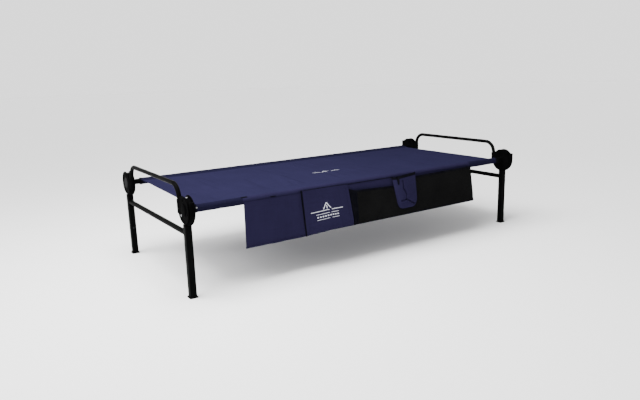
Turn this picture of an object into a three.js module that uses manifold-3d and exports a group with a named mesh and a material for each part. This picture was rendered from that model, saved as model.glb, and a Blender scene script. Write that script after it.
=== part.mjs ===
// Camp cot with disc corners and a side organizer.
//
// Two end frames (square legs, a crossbar, a hoop and two U-shaped saddles) carry two side
// rails. Each rail ends in a riveted spool, two discs on a drum, that drops into a saddle from
// above. A fabric deck is stretched between the rails, and an organizer hangs on the front rail.
//
// Units are millimetres. +X runs along the bed to the right, +Y to the back, +Z up.
// The origin is on the floor, under the middle of the bed.
//
// At a corner, a place is given by three distances: out (along X, away from the bed, from the
// leg's axis), lat (along Y, away from the bed, from the leg's axis) and z (height).

import * as THREE from 'three';
import { mergeVertices } from 'three/addons/utils/BufferGeometryUtils.js';
import Module from 'manifold-3d';

const wasm = await Module();
wasm.setup();

// ---- driving dimensions --------------------------------------------------------------------

const GAP = 0.3;                    // room left between pieces that touch

const LEG_SPACING_X = 2000;         // between leg axes, along the bed
const LEG_SPACING_Y = 820;          // between leg axes, across the bed
const RAIL_Z = 389;                 // height of the side rails' axis

const LEG_SIDE = 30;                // square tube
const LEG_WALL = 1.5;
const LEG_SPLIT_Z = 178;            // where the leg meets its extension
const PLUG_BOTTOM_Z = 100;          // the leg's reduced end, inside the extension
const PLUG_TOP_Z = 205;

const FOOT_SIDE = 39.4;
const FOOT_FLANGE = 6;
const FOOT_PLUG_TOP_Z = 34;

const BUTTON_Z = 142;
const BUTTON_R = 3.5;
const BUTTON_SHOULDER_R = 5.5;
const BUTTON_SHOULDER = 2;
const BUTTON_PROUD = 2.4;           // how far the dome stands out of the leg

const CROSSBAR_Z = 285;
const CROSSBAR_R = 12;
const CROSSBAR_WALL = 1.5;

const HOOP_TOP_Z = 486;             // axis of the hoop's top tube
const HOOP_R = 10;
const HOOP_WALL = 1.5;
const HOOP_LAT = -70;               // the hoop stands inside the legs
const HOOP_BEND_R = 62;
const HOOP_BEND_STEPS = 6;
const HOOP_JOINT_GAP = 0.02;         // between the hoop's top and each bend

const SADDLE_R = 68;                // outside of the U
const SADDLE_SLOT_R = 52.6;         // inside of the U
const SADDLE_TOP_Z = 430;
const SADDLE_OUTER = 7;             // out of its outer face
const SADDLE_INNER = -13;           // out of its inner face
const SADDLE_TONGUE_HALF = 12.9;    // the tongue sits in the top of the leg
const SADDLE_TONGUE_Z = 268;
const SLEEVE_R = 12.3;              // socket for the hoop, on the saddle
const SLEEVE_BOTTOM_Z = 362;
const SLEEVE_TOP_Z = 423;
const SLEEVE_FLOOR = 3;

const DISC_R = 61;
const DRUM_R = 52;
const DRUM_RIM = 3;
const DRUM_OUTER = 8.7;             // out of the drum's outer edge
const HUB_R = 17.3;                 // tube of the drum, round the rail
const WEB_OUTER = -13.8;            // out of the spool's web, both faces
const WEB_INNER = -18.3;

const RIVET_COUNT = 3;
const RIVET_CIRCLE_R = 42;
const RIVET_TURN = -17;             // degrees, the first rivet's place from level with the hub
const RIVET_R = 3;
const RIVET_HEAD_R = 5.4;
const RIVET_HEAD = 2;

const HUB_BOSS_R = 28;
const HUB_BOSS = 3.4;

const RAIL_R = 14;
const RAIL_WALL = 1.8;
const RAIL_END_OUT = 8;             // the rail ends inside its spool
const CONNECTOR_LENGTH = 300;
const CONNECTOR_WALL = 1.8;

const DECK_LENGTH = 1880;
const DECK_SLEEVE_R = 17;           // fabric sleeve round the rail
const DECK_SLEEVE_BORE_R = 14.6;
const DECK_TOP_Z = 394.5;
const DECK_SHEET = 1.5;
const DECK_FLAT_Y = 360;            // the sheet is flat between these

const ORGANIZER_X0 = -742;
const ORGANIZER_X1 = 694;
const HEADER_BORE_R = DECK_SLEEVE_R + GAP;
const HEADER_R = HEADER_BORE_R + 1.5;
const HEADER_START = Math.PI * 0.45;    // turned from inboard, over the top, to the outside
const HEADER_END = Math.PI * 1.03;
const FLAP_LAT = 19.2;              // the flap's back, outside the rail
const FLAP_TOP_Z = 385;
const FLAP_SHEET = 1.5;
const FLAP_LENGTH = 212;            // at the left end
const FLARED_LENGTH = 198;          // where the loaded part leans outwards
const FLARE_ANGLE = THREE.MathUtils.degToRad(9.2);
const FLARE_X0 = -446;              // the lean starts here and is full at FLARE_X1
const FLARE_X1 = -300;
const FLARE_STEPS = 6;
const POCKET_WALL = 1.4;
const POCKET_BACK = FLAP_SHEET + 0.9;   // clear of the flap where it twists into its lean

// ---- materials -----------------------------------------------------------------------------

const finish = (color, roughness, metalness) =>
  new THREE.MeshStandardMaterial({ color, roughness, metalness });

const MATERIALS = {
  blackSteel: finish(0x121212, 0.4, 0.6),
  blackPlastic: finish(0x161616, 0.5, 0),
  rubber: finish(0x0f0f0f, 0.8, 0),
  silver: finish(0xc4c6c8, 0.3, 1),
  navyFabric: finish(0x32335c, 0.85, 0),
  organizerFabric: finish(0x28264a, 0.85, 0),
  mesh: finish(0x101010, 0.9, 0),
};

// ---- frames of reference -------------------------------------------------------------------

const ENDS = [{ name: 'left', sx: -1 }, { name: 'right', sx: 1 }];
const SIDES = [{ name: 'front', sy: -1 }, { name: 'back', sy: 1 }];

const atX = (end, out) => end.sx * (LEG_SPACING_X / 2 + out);
const atY = (side, lat) => side.sy * (LEG_SPACING_Y / 2 + lat);

const X_AXIS = new THREE.Vector3(1, 0, 0);
const Y_AXIS = new THREE.Vector3(0, 1, 0);
const Z_AXIS = new THREE.Vector3(0, 0, 1);
const YZ_TO_X = new THREE.Matrix4().makeBasis(Y_AXIS, Z_AXIS, X_AXIS);

// ---- solids --------------------------------------------------------------------------------

function signedVolume(geometry) {
  const position = geometry.attributes.position;
  const index = geometry.index.array;
  const [a, b, c] = [new THREE.Vector3(), new THREE.Vector3(), new THREE.Vector3()];
  let sum = 0;
  for (let i = 0; i < index.length; i += 3) {
    a.fromBufferAttribute(position, index[i]);
    b.fromBufferAttribute(position, index[i + 1]);
    c.fromBufferAttribute(position, index[i + 2]);
    sum += a.dot(b.cross(c));
  }
  return sum / 6;
}

// Positions only, shared vertices merged, faces pointing out.
function closed(geometry) {
  const plain = geometry.clone();
  plain.deleteAttribute('normal');
  plain.deleteAttribute('uv');
  const merged = mergeVertices(plain, 1e-4);
  const index = Array.from(merged.index.array);
  const kept = [];
  for (let i = 0; i < index.length; i += 3) {
    const [a, b, c] = index.slice(i, i + 3);
    if (a !== b && b !== c && c !== a) kept.push(a, b, c);
  }
  merged.setIndex(kept);
  if (signedVolume(merged) < 0) merged.setIndex(kept.reverse());
  return merged;
}

function toManifold(geometry) {
  const solid = closed(geometry);
  return new wasm.Manifold(new wasm.Mesh({
    numProp: 3,
    vertProperties: new Float32Array(solid.attributes.position.array),
    triVerts: new Uint32Array(solid.index.array),
  }));
}

function fromManifold(manifold) {
  const mesh = manifold.getMesh();
  const geometry = new THREE.BufferGeometry();
  geometry.setAttribute('position', new THREE.BufferAttribute(mesh.vertProperties, 3));
  geometry.setIndex(Array.from(mesh.triVerts));
  return geometry;
}

function subtract(base, cutters) {
  let result = toManifold(base);
  for (const cutter of cutters) result = result.subtract(toManifold(cutter));
  return fromManifold(result);
}

function join(parts) {
  let result = toManifold(parts[0]);
  for (const part of parts.slice(1)) result = result.add(toManifold(part));
  return fromManifold(result);
}

function circle(radius, segments) {
  const points = [];
  for (let i = 0; i < segments; i += 1) {
    const angle = (i / segments) * Math.PI * 2;
    points.push(new THREE.Vector2(radius * Math.cos(angle), radius * Math.sin(angle)));
  }
  return points;
}

function ring(outerR, innerR, segments) {
  const shape = new THREE.Shape(circle(outerR, segments));
  shape.holes.push(new THREE.Path(circle(innerR, segments).reverse()));
  return shape;
}

// A shape drawn in (y, z), extruded from x0 to x1.
function extrudeX(shape, x0, x1, curveSegments = 12) {
  const depth = Math.abs(x1 - x0);
  const geometry = new THREE.ExtrudeGeometry(shape, { depth, bevelEnabled: false, curveSegments });
  return geometry.applyMatrix4(YZ_TO_X).translate(Math.min(x0, x1), 0, 0);
}

// A closed profile of [radius, height] points, turned round Z, then laid along another axis.
function lathe(profile, segments, close = true) {
  const points = profile.map(([r, h]) => new THREE.Vector2(r, h));
  if (close) points.push(points[0].clone());
  return new THREE.LatheGeometry(points, segments).rotateX(Math.PI / 2);
}

const latheX = (profile, segments, close) => lathe(profile, segments, close).rotateY(Math.PI / 2);
const latheY = (profile, segments, close) => lathe(profile, segments, close).rotateX(-Math.PI / 2);

// A square tube is a four-sided lathe: a side of s has its corners at s / sqrt(2).
const squareProfile = (pairs) => pairs.map(([side, z]) => [side / Math.SQRT2, z]);
const squareLathe = (pairs, close) => lathe(squareProfile(pairs), 4, close).rotateZ(Math.PI / 4);

// ---- the object ----------------------------------------------------------------------------

const cot = new THREE.Group();

function addPiece(name, geometry, material, x = 0, y = 0, z = 0) {
  const mesh = new THREE.Mesh(closed(geometry), material);
  mesh.name = name;
  mesh.position.set(x, y, z);
  cot.add(mesh);
}

// ---- legs ----------------------------------------------------------------------------------

const LEG_BORE = LEG_SIDE - 2 * LEG_WALL;
const PLUG_SIDE = LEG_BORE - 2 * GAP;
const PLUG_BORE = PLUG_SIDE - 2 * LEG_WALL;
const SADDLE_BOTTOM_Z = RAIL_Z - SADDLE_R;
const LEG_TOP_Z = SADDLE_BOTTOM_Z - GAP;

function buttonHole(side, radius) {
  const reach = LEG_SIDE;
  const hole = latheY([[0, 0], [radius, 0], [radius, reach], [0, reach]], 10, false);
  return (side.sy > 0 ? hole.rotateX(Math.PI) : hole).translate(0, 0, BUTTON_Z);
}

function makeLeg(side) {
  const tube = squareLathe([
    [LEG_SIDE, LEG_SPLIT_Z],
    [LEG_SIDE, LEG_TOP_Z],
    [LEG_BORE, LEG_TOP_Z],
    [LEG_BORE, PLUG_TOP_Z],
    [PLUG_BORE, PLUG_TOP_Z],
    [PLUG_BORE, PLUG_BOTTOM_Z],
    [PLUG_SIDE, PLUG_BOTTOM_Z],
    [PLUG_SIDE, LEG_SPLIT_Z],
  ]);
  return subtract(tube, [buttonHole(side, BUTTON_R + GAP)]);
}

function makeLegExtension(side) {
  const bottom = FOOT_FLANGE + GAP;
  const top = LEG_SPLIT_Z - GAP;
  const tube = squareLathe([[LEG_SIDE, bottom], [LEG_SIDE, top], [LEG_BORE, top], [LEG_BORE, bottom]]);
  return subtract(tube, [buttonHole(side, BUTTON_R + GAP)]);
}

function makeFootCap() {
  return squareLathe([
    [0, 0],
    [FOOT_SIDE, 0],
    [FOOT_SIDE, FOOT_FLANGE - 2],
    [FOOT_SIDE - 4, FOOT_FLANGE],
    [PLUG_SIDE, FOOT_FLANGE],
    [PLUG_SIDE, FOOT_PLUG_TOP_Z - 3],
    [PLUG_SIDE - 3, FOOT_PLUG_TOP_Z],
    [0, FOOT_PLUG_TOP_Z],
  ], false);
}

// The button's shoulder bears on the inside of the leg's reduced end, and its dome shows.
function makeSnapButton(side) {
  const shoulder = PLUG_BORE / 2 - GAP;
  const tip = LEG_SIDE / 2 + BUTTON_PROUD;
  const dome = 1.6;
  const pin = latheY([
    [0, shoulder - BUTTON_SHOULDER],
    [BUTTON_SHOULDER_R, shoulder - BUTTON_SHOULDER],
    [BUTTON_SHOULDER_R, shoulder],
    [BUTTON_R, shoulder],
    [BUTTON_R, tip - dome],
    [BUTTON_R * 0.7, tip - dome * 0.3],
    [0, tip],
  ], 10, false);
  return side.sy > 0 ? pin.rotateX(Math.PI) : pin;
}

// ---- saddle, with the hoop's sleeve on its inner side --------------------------------------

function saddleOutline(side) {
  const across = (lat) => side.sy * lat;
  const shape = new THREE.Shape();
  const tongueAngle = Math.asin(SADDLE_TONGUE_HALF / SADDLE_R);
  const steps = 14;
  const arc = (radius, from, to) => {
    for (let i = 0; i <= steps; i += 1) {
      const angle = from + (to - from) * (i / steps);
      shape.lineTo(across(radius * Math.sin(angle)), -radius * Math.cos(angle));
    }
  };
  const top = SADDLE_TOP_Z - RAIL_Z;
  const innerTop = SLEEVE_TOP_Z - RAIL_Z;
  const tongueBottom = SADDLE_TONGUE_Z - RAIL_Z;
  shape.moveTo(across(SADDLE_R), top);
  arc(SADDLE_R, Math.PI / 2, tongueAngle);
  shape.lineTo(across(SADDLE_TONGUE_HALF), tongueBottom);
  shape.lineTo(across(-SADDLE_TONGUE_HALF), tongueBottom);
  arc(SADDLE_R, -tongueAngle, -Math.PI / 2);
  shape.lineTo(across(-SADDLE_R), innerTop);
  shape.lineTo(across(-SADDLE_SLOT_R), innerTop);
  arc(SADDLE_SLOT_R, -Math.PI / 2, Math.PI / 2);
  shape.lineTo(across(SADDLE_SLOT_R), top);
  return shape;
}

function makeSaddle(end, side) {
  const block = extrudeX(saddleOutline(side), end.sx * SADDLE_INNER, end.sx * SADDLE_OUTER);
  const sleeve = lathe([
    [0, SLEEVE_BOTTOM_Z],
    [SLEEVE_R - 3, SLEEVE_BOTTOM_Z],
    [SLEEVE_R, SLEEVE_BOTTOM_Z + 4],
    [SLEEVE_R, SLEEVE_TOP_Z],
    [0, SLEEVE_TOP_Z],
  ], 16, false).translate(0, side.sy * HOOP_LAT, -RAIL_Z);
  const boreR = HOOP_R + GAP;
  const boreFloor = SLEEVE_BOTTOM_Z + SLEEVE_FLOOR;
  const boreMouth = SLEEVE_TOP_Z + 5;
  const bore = lathe([[0, boreFloor], [boreR, boreFloor], [boreR, boreMouth], [0, boreMouth]], 16, false)
    .translate(0, side.sy * HOOP_LAT, -RAIL_Z);
  return subtract(join([block, sleeve]), [bore]);
}

// ---- spool on the rail's end: outer disc with its hub, drum with its web, and rivets -------------

const SPOOL_SEGMENTS = 24;
const DISC_INNER_FACE = DRUM_OUTER + GAP;
const DISC_PLATE = 2.2;
const DISC_RIM = 5;
const DISC_BOSS = 3.4;

// Rivets stand 120 degrees apart, one of them straight out from the bed.
function rivetPlaces(side) {
  const places = [];
  for (let i = 0; i < RIVET_COUNT; i += 1) {
    const angle = ((i / RIVET_COUNT) * 360 + RIVET_TURN) * (Math.PI / 180);
    places.push([side.sy * RIVET_CIRCLE_R * Math.cos(angle), RIVET_CIRCLE_R * Math.sin(angle)]);
  }
  return places;
}

function rivetHoles(side) {
  const reach = 40;
  const radius = RIVET_R + GAP;
  return rivetPlaces(side).map(([y, z]) =>
    latheX([[0, -reach], [radius, -reach], [radius, reach], [0, reach]], 8, false).translate(0, y, z));
}

// The profiles of the turned pieces give out as the height, so they face away from the bed.
const turned = (end, profile, segments, close) => {
  const geometry = latheX(profile, segments, close);
  return end.sx < 0 ? geometry.rotateZ(Math.PI) : geometry;
};

function makeOuterDisc(end, side) {
  const face = DISC_INNER_FACE + DISC_PLATE;
  const rim = DISC_INNER_FACE + DISC_RIM;
  const boss = DISC_INNER_FACE + DISC_BOSS;
  const disc = turned(end, [
    [0, DISC_INNER_FACE],
    [DISC_R, DISC_INNER_FACE],
    [DISC_R, rim - 1],
    [DISC_R - 1.5, rim],
    [DISC_R - 3.5, rim],
    [DISC_R - 6, face],
    [HUB_BOSS_R + 4, face],
    [HUB_BOSS_R + 2, boss],
    [HUB_BOSS_R, boss],
    [HUB_BOSS_R, boss + HUB_BOSS * 0.5],
    [HUB_BOSS_R * 0.9, boss + HUB_BOSS * 0.8],
    [HUB_BOSS_R * 0.5, boss + HUB_BOSS],
    [0, boss + HUB_BOSS],
  ], SPOOL_SEGMENTS, false);
  return subtract(disc, rivetHoles(side));
}

function makeSpool(end, side) {
  const bore = RAIL_R + GAP;
  const spool = turned(end, [
    [bore, WEB_INNER],
    [DISC_R, WEB_INNER],
    [DISC_R, WEB_OUTER],
    [DRUM_R, WEB_OUTER],
    [DRUM_R, DRUM_OUTER],
    [DRUM_R - DRUM_RIM, DRUM_OUTER],
    [DRUM_R - DRUM_RIM, WEB_OUTER],
    [HUB_R, WEB_OUTER],
    [HUB_R, DRUM_OUTER],
    [bore, DRUM_OUTER],
  ], SPOOL_SEGMENTS);
  return subtract(spool, rivetHoles(side));
}

function makeRivet(end) {
  const outer = DISC_INNER_FACE + DISC_PLATE + GAP;
  const inner = WEB_INNER - GAP;
  return turned(end, [
    [0, inner - RIVET_HEAD],
    [RIVET_HEAD_R * 0.6, inner - RIVET_HEAD * 0.8],
    [RIVET_HEAD_R, inner],
    [RIVET_R, inner],
    [RIVET_R, outer],
    [RIVET_HEAD_R, outer],
    [RIVET_HEAD_R * 0.6, outer + RIVET_HEAD * 0.8],
    [0, outer + RIVET_HEAD],
  ], 8, false);
}

// ---- rails ---------------------------------------------------------------------------------

function makeRail(end) {
  const outerX = end.sx * (LEG_SPACING_X / 2 + RAIL_END_OUT);
  return extrudeX(ring(RAIL_R, RAIL_R - RAIL_WALL, 16), outerX, end.sx * GAP);
}

function makeConnector() {
  const radius = RAIL_R - RAIL_WALL - GAP;
  const half = CONNECTOR_LENGTH / 2;
  return extrudeX(ring(radius, radius - CONNECTOR_WALL, 16), -half, half);
}

// ---- corners -------------------------------------------------------------------------------

for (const end of ENDS) {
  for (const side of SIDES) {
    const corner = `${end.name}_${side.name}`;
    const x = atX(end, 0);
    const y = atY(side, 0);
    addPiece(`leg_${corner}`, makeLeg(side), MATERIALS.blackSteel, x, y);
    addPiece(`leg_extension_${corner}`, makeLegExtension(side), MATERIALS.blackSteel, x, y);
    addPiece(`foot_cap_${corner}`, makeFootCap(), MATERIALS.rubber, x, y);
    addPiece(`snap_button_${corner}`, makeSnapButton(side), MATERIALS.silver, x, y, BUTTON_Z);
    addPiece(`saddle_${corner}`, makeSaddle(end, side), MATERIALS.blackPlastic, x, y, RAIL_Z);
    addPiece(`outer_disc_${corner}`, makeOuterDisc(end, side), MATERIALS.blackSteel, x, y, RAIL_Z);
    addPiece(`spool_${corner}`, makeSpool(end, side), MATERIALS.blackPlastic, x, y, RAIL_Z);
    rivetPlaces(side).forEach(([dy, dz], i) => {
      addPiece(`rivet_${corner}_${i + 1}`, makeRivet(end), MATERIALS.silver, x, y + dy, RAIL_Z + dz);
    });
    addPiece(`rail_${corner}`, makeRail(end), MATERIALS.blackSteel, 0, y, RAIL_Z);
  }
}

for (const side of SIDES) {
  addPiece(`rail_connector_${side.name}`, makeConnector(), MATERIALS.blackSteel, 0, atY(side, 0), RAIL_Z);
}

// ---- crossbars and hoops -------------------------------------------------------------------

function makeCrossbar() {
  const length = LEG_SPACING_Y - LEG_SIDE - 2 * GAP;
  const shape = ring(CROSSBAR_R, CROSSBAR_R - CROSSBAR_WALL, 16);
  return new THREE.ExtrudeGeometry(shape, { depth: length, bevelEnabled: false })
    .translate(0, 0, -length / 2)
    .rotateX(Math.PI / 2);
}

// One bent end of a hoop: up from its socket and round the bend towards the middle, in the YZ
// plane. The straight takes one step and the bend HOOP_BEND_STEPS of them.
class HoopBendPath extends THREE.Curve {
  constructor(sy, halfWidth, bottomZ, topZ, bendR) {
    super();
    this.points = [new THREE.Vector3(0, sy * halfWidth, bottomZ)];
    this.tangents = [new THREE.Vector3(0, 0, 1)];
    for (let i = 0; i <= HOOP_BEND_STEPS; i += 1) {
      const angle = (i / HOOP_BEND_STEPS) * (Math.PI / 2);
      const [c, s] = [Math.cos(angle), Math.sin(angle)];
      const y = sy * (halfWidth - bendR + bendR * c);
      this.points.push(new THREE.Vector3(0, y, topZ - bendR + bendR * s));
      this.tangents.push(new THREE.Vector3(0, -sy * s, c));
    }
    this.steps = this.points.length - 1;
  }

  getPoint(t) {
    return this.points[Math.round(t * this.steps)].clone();
  }

  getPointAt(u) {
    return this.getPoint(u);
  }

  getSpacedPoints() {
    return this.points.map((point) => point.clone());
  }

  getTangentAt(u) {
    return this.tangents[Math.round(u * this.steps)].clone();
  }
}

const HOOP_HALF = LEG_SPACING_Y / 2 + HOOP_LAT;

function makeHoopBend(side) {
  const bottom = SLEEVE_BOTTOM_Z + SLEEVE_FLOOR + GAP;
  const path = new HoopBendPath(side.sy, HOOP_HALF, bottom, HOOP_TOP_Z, HOOP_BEND_R);
  return new THREE.ExtrudeGeometry(ring(HOOP_R, HOOP_R - HOOP_WALL, 12), {
    steps: path.steps,
    extrudePath: path,
    bevelEnabled: false,
  });
}

// The straight top of a hoop, between its two bends.
function makeHoopTop() {
  const length = 2 * (HOOP_HALF - HOOP_BEND_R - HOOP_JOINT_GAP);
  return new THREE.ExtrudeGeometry(ring(HOOP_R, HOOP_R - HOOP_WALL, 12), {
    depth: length,
    bevelEnabled: false,
  })
    .translate(0, 0, -length / 2)
    .rotateX(Math.PI / 2);
}

for (const end of ENDS) {
  addPiece(`crossbar_${end.name}`, makeCrossbar(), MATERIALS.blackSteel, atX(end, 0), 0, CROSSBAR_Z);
  addPiece(`hoop_${end.name}`, makeHoopTop(), MATERIALS.blackSteel, atX(end, 0), 0, HOOP_TOP_Z);
  for (const side of SIDES) {
    const name = `hoop_bend_${end.name}_${side.name}`;
    addPiece(name, makeHoopBend(side), MATERIALS.blackSteel, atX(end, 0), 0, 0);
  }
}

// ---- deck: one fabric sheet with a sleeve round each rail ----------------------------------

function makeDeck() {
  const half = LEG_SPACING_Y / 2;
  const bottom = DECK_TOP_Z - DECK_SHEET;
  const topJoin = THREE.MathUtils.degToRad(76);
  const bottomJoin = THREE.MathUtils.degToRad(44);
  const steps = 14;
  const shape = new THREE.Shape();
  shape.moveTo(-DECK_FLAT_Y, bottom);
  for (let i = 0; i <= steps; i += 1) {
    const angle = bottomJoin - (i / steps) * (Math.PI * 2 + bottomJoin - topJoin);
    shape.lineTo(-half + DECK_SLEEVE_R * Math.cos(angle), RAIL_Z + DECK_SLEEVE_R * Math.sin(angle));
  }
  shape.lineTo(-DECK_FLAT_Y, DECK_TOP_Z);
  shape.lineTo(DECK_FLAT_Y, DECK_TOP_Z);
  for (let i = 0; i <= steps; i += 1) {
    const angle = Math.PI - topJoin - (i / steps) * (Math.PI * 2 + bottomJoin - topJoin);
    shape.lineTo(half + DECK_SLEEVE_R * Math.cos(angle), RAIL_Z + DECK_SLEEVE_R * Math.sin(angle));
  }
  shape.lineTo(DECK_FLAT_Y, bottom);
  for (const y of [-half, half]) {
    const bore = circle(DECK_SLEEVE_BORE_R, 14);
    shape.holes.push(new THREE.Path(bore.map((p) => new THREE.Vector2(p.x + y, p.y + RAIL_Z))));
  }
  return extrudeX(shape, -DECK_LENGTH / 2, DECK_LENGTH / 2);
}

addPiece('deck_fabric', makeDeck(), MATERIALS.navyFabric);

// ---- organizer: header over the front rail, hanging flap and its pockets --------------------

function makeHeader() {
  const steps = 10;
  const points = [];
  const arc = (radius, from, to) => {
    for (let i = 0; i <= steps; i += 1) {
      const angle = from + (to - from) * (i / steps);
      points.push(new THREE.Vector2(radius * Math.cos(angle), radius * Math.sin(angle)));
    }
  };
  arc(HEADER_R, HEADER_START, HEADER_END);
  arc(HEADER_BORE_R, HEADER_END, HEADER_START);
  return extrudeX(new THREE.Shape(points), ORGANIZER_X0, ORGANIZER_X1);
}

const flareAt = (x) => THREE.MathUtils.clamp((x - FLARE_X0) / (FLARE_X1 - FLARE_X0), 0, 1);

// A place on the flap: x along the bed, down from its top edge, and proud of its back.
function flapPoint(x, down, proud) {
  const lean = FLARE_ANGLE * flareAt(x);
  const y = down * Math.sin(lean) + proud * Math.cos(lean);
  const z = -down * Math.cos(lean) + proud * Math.sin(lean);
  return [x, atY(SIDES[0], FLAP_LAT) - y, FLAP_TOP_Z + z];
}

const flapLengthAt = (x) => THREE.MathUtils.lerp(FLAP_LENGTH, FLARED_LENGTH, flareAt(x));

// A slab that follows the flap from x0 to x1. It ends endGap above the flap's lower edge,
// or at the distance down where one is given.
function flapSlab({ x0, x1, top, bottom = null, endGap = 0, back, front }) {
  const stations = [x0];
  for (let i = 0; i <= FLARE_STEPS; i += 1) {
    const x = FLARE_X0 + (FLARE_X1 - FLARE_X0) * (i / FLARE_STEPS);
    if (x > x0 + 1 && x < x1 - 1) stations.push(x);
  }
  stations.push(x1);
  const positions = [];
  for (const x of stations) {
    const low = bottom === null ? flapLengthAt(x) - endGap : bottom;
    for (const [down, proud] of [[top, back], [top, front], [low, front], [low, back]]) {
      positions.push(...flapPoint(x, down, proud));
    }
  }
  const index = [0, 1, 2, 0, 2, 3];
  for (let i = 0; i + 1 < stations.length; i += 1) {
    for (let k = 0; k < 4; k += 1) {
      const a = i * 4 + k;
      const b = i * 4 + ((k + 1) % 4);
      index.push(a, b + 4, b, a, a + 4, b + 4);
    }
  }
  const last = (stations.length - 1) * 4;
  index.push(last, last + 2, last + 1, last, last + 3, last + 2);
  const geometry = new THREE.BufferGeometry();
  geometry.setAttribute('position', new THREE.Float32BufferAttribute(positions, 3));
  geometry.setIndex(index);
  return geometry;
}

// The space inside a pocket: open at the top and towards the flap.
function pocketHollow({ x0, x1, top, bottom = null, endGap = 0, back, front }) {
  return flapSlab({
    x0: x0 + POCKET_WALL,
    x1: x1 - POCKET_WALL,
    top: top - 5,
    bottom: bottom === null ? null : bottom - POCKET_WALL,
    endGap: endGap + POCKET_WALL,
    back: back - 1,
    front: front - POCKET_WALL,
  });
}

const makePocket = (room) => subtract(flapSlab(room), [pocketHollow(room)]);

const MESH_FRONT = 15;
const PRINT_POCKET = { x0: FLARE_X0, x1: -170, top: 12, endGap: 1, back: POCKET_BACK, front: 15 };
const MESH_POCKET_LEFT = { x0: -169, x1: 207, top: 34, endGap: 1, back: POCKET_BACK, front: MESH_FRONT };
const MESH_POCKET_RIGHT = { x0: 206, x1: 693, top: 13, endGap: 1, back: POCKET_BACK, front: MESH_FRONT };
const BOTTLE_POCKET = { x0: 108, x1: 256, top: 4, bottom: 164, back: MESH_FRONT + GAP, front: 30 };

function makeMeshPocket() {
  const body = join([flapSlab(MESH_POCKET_LEFT), flapSlab(MESH_POCKET_RIGHT)]);
  return subtract(body, [pocketHollow(MESH_POCKET_LEFT), pocketHollow(MESH_POCKET_RIGHT)]);
}

addPiece('organizer_header', makeHeader(), MATERIALS.organizerFabric, 0, atY(SIDES[0], 0), RAIL_Z);
addPiece(
  'organizer_flap',
  flapSlab({ x0: ORGANIZER_X0, x1: ORGANIZER_X1, top: 0, back: 0, front: FLAP_SHEET }),
  MATERIALS.organizerFabric,
);
addPiece('pocket_print', makePocket(PRINT_POCKET), MATERIALS.organizerFabric);
addPiece('pocket_mesh', makeMeshPocket(), MATERIALS.mesh);
addPiece('pocket_bottle', makePocket(BOTTLE_POCKET), MATERIALS.organizerFabric);

export default cot;
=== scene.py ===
import math
import random

import bmesh
import bpy
from mathutils import Matrix, Vector, noise


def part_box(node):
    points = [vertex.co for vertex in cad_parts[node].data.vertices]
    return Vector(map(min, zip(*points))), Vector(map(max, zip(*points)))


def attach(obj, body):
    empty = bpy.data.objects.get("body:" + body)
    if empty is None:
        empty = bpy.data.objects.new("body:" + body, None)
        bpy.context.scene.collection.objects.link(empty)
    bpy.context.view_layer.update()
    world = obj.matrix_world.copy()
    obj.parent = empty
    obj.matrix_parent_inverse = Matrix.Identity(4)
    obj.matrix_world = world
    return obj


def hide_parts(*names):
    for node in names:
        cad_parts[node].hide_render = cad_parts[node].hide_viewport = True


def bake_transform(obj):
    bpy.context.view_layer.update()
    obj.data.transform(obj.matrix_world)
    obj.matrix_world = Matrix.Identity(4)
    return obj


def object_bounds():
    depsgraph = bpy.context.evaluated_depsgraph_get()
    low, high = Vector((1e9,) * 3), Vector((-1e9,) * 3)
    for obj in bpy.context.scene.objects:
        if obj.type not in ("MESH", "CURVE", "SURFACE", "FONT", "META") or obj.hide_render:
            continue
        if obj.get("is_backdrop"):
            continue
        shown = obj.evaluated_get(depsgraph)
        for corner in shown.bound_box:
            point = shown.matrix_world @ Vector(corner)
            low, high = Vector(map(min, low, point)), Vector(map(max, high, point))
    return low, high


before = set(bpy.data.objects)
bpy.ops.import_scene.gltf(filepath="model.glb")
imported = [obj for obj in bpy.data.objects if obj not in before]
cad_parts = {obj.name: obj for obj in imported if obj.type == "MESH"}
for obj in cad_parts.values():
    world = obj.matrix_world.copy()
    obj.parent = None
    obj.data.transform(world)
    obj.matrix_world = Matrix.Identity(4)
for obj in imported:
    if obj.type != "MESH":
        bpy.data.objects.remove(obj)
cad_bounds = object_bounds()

# Camp cot with a side organizer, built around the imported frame. Metres, +Z up, +X along the bed,
# +Y away from the organizer. At a corner a place is given by out (along X, away from the bed,
# from the leg's axis), lat (along Y, away from the bed, from the leg's axis) and z.

# ---- sizes ---------------------------------------------------------------------------------

LEG_CORNER_R = 0.004
STEEL_WALL = 0.0015
BUTTON_HOLE_R = 0.0038

SADDLE_R = 0.068
SADDLE_SLOT_R = 0.0526
SADDLE_OUTER = 0.007
SADDLE_INNER = -0.013
SADDLE_OUTER_TOP_Z = 0.430
SADDLE_INNER_TOP_Z = 0.423
TONGUE_HALF = 0.0129
TONGUE_LOW_Z = 0.268

DISC_R = 0.061
DRUM_R = 0.052
RIVET_HEAD_R = 0.0054

RAIL_R = 0.014
RAIL_WALL = 0.0018
HOOP_R = 0.010
HOOP_BEND_R = 0.062
CROSSBAR_R = 0.012

SLEEVE_R = 0.0168
SLEEVE_START = math.radians(44)      # the sleeve's two ends, as turns from inboard
SLEEVE_END = math.radians(76 - 360)
SLEEVE_STEPS = 26
DECK_FLAT_Y = 0.360
DECK_TOP_Z = 0.3945
END_TAPE = 0.011
CLOTH_THICK = 0.0011
TAPE_THICK = 0.0006

FLAP_TOP_Z = 0.385
FLARE_X0 = -0.446                    # left of here the organizer hangs straight down
FLARE_X1 = -0.300                    # right of here it leans by the whole angle
FLARE_ANGLE = math.radians(9.2)
FLAP_LENGTH = 0.212
FLARED_LENGTH = 0.198
TAPE_WIDTH = 0.009
BAND_WIDTH = 0.046
HEM_CHANGE_X = -0.165

# ---- places from the frame -----------------------------------------------------------------


def centre(node):
    low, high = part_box(node)
    return (low + high) / 2


def level(node, top=True):
    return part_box(node)[1 if top else 0].z


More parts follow.
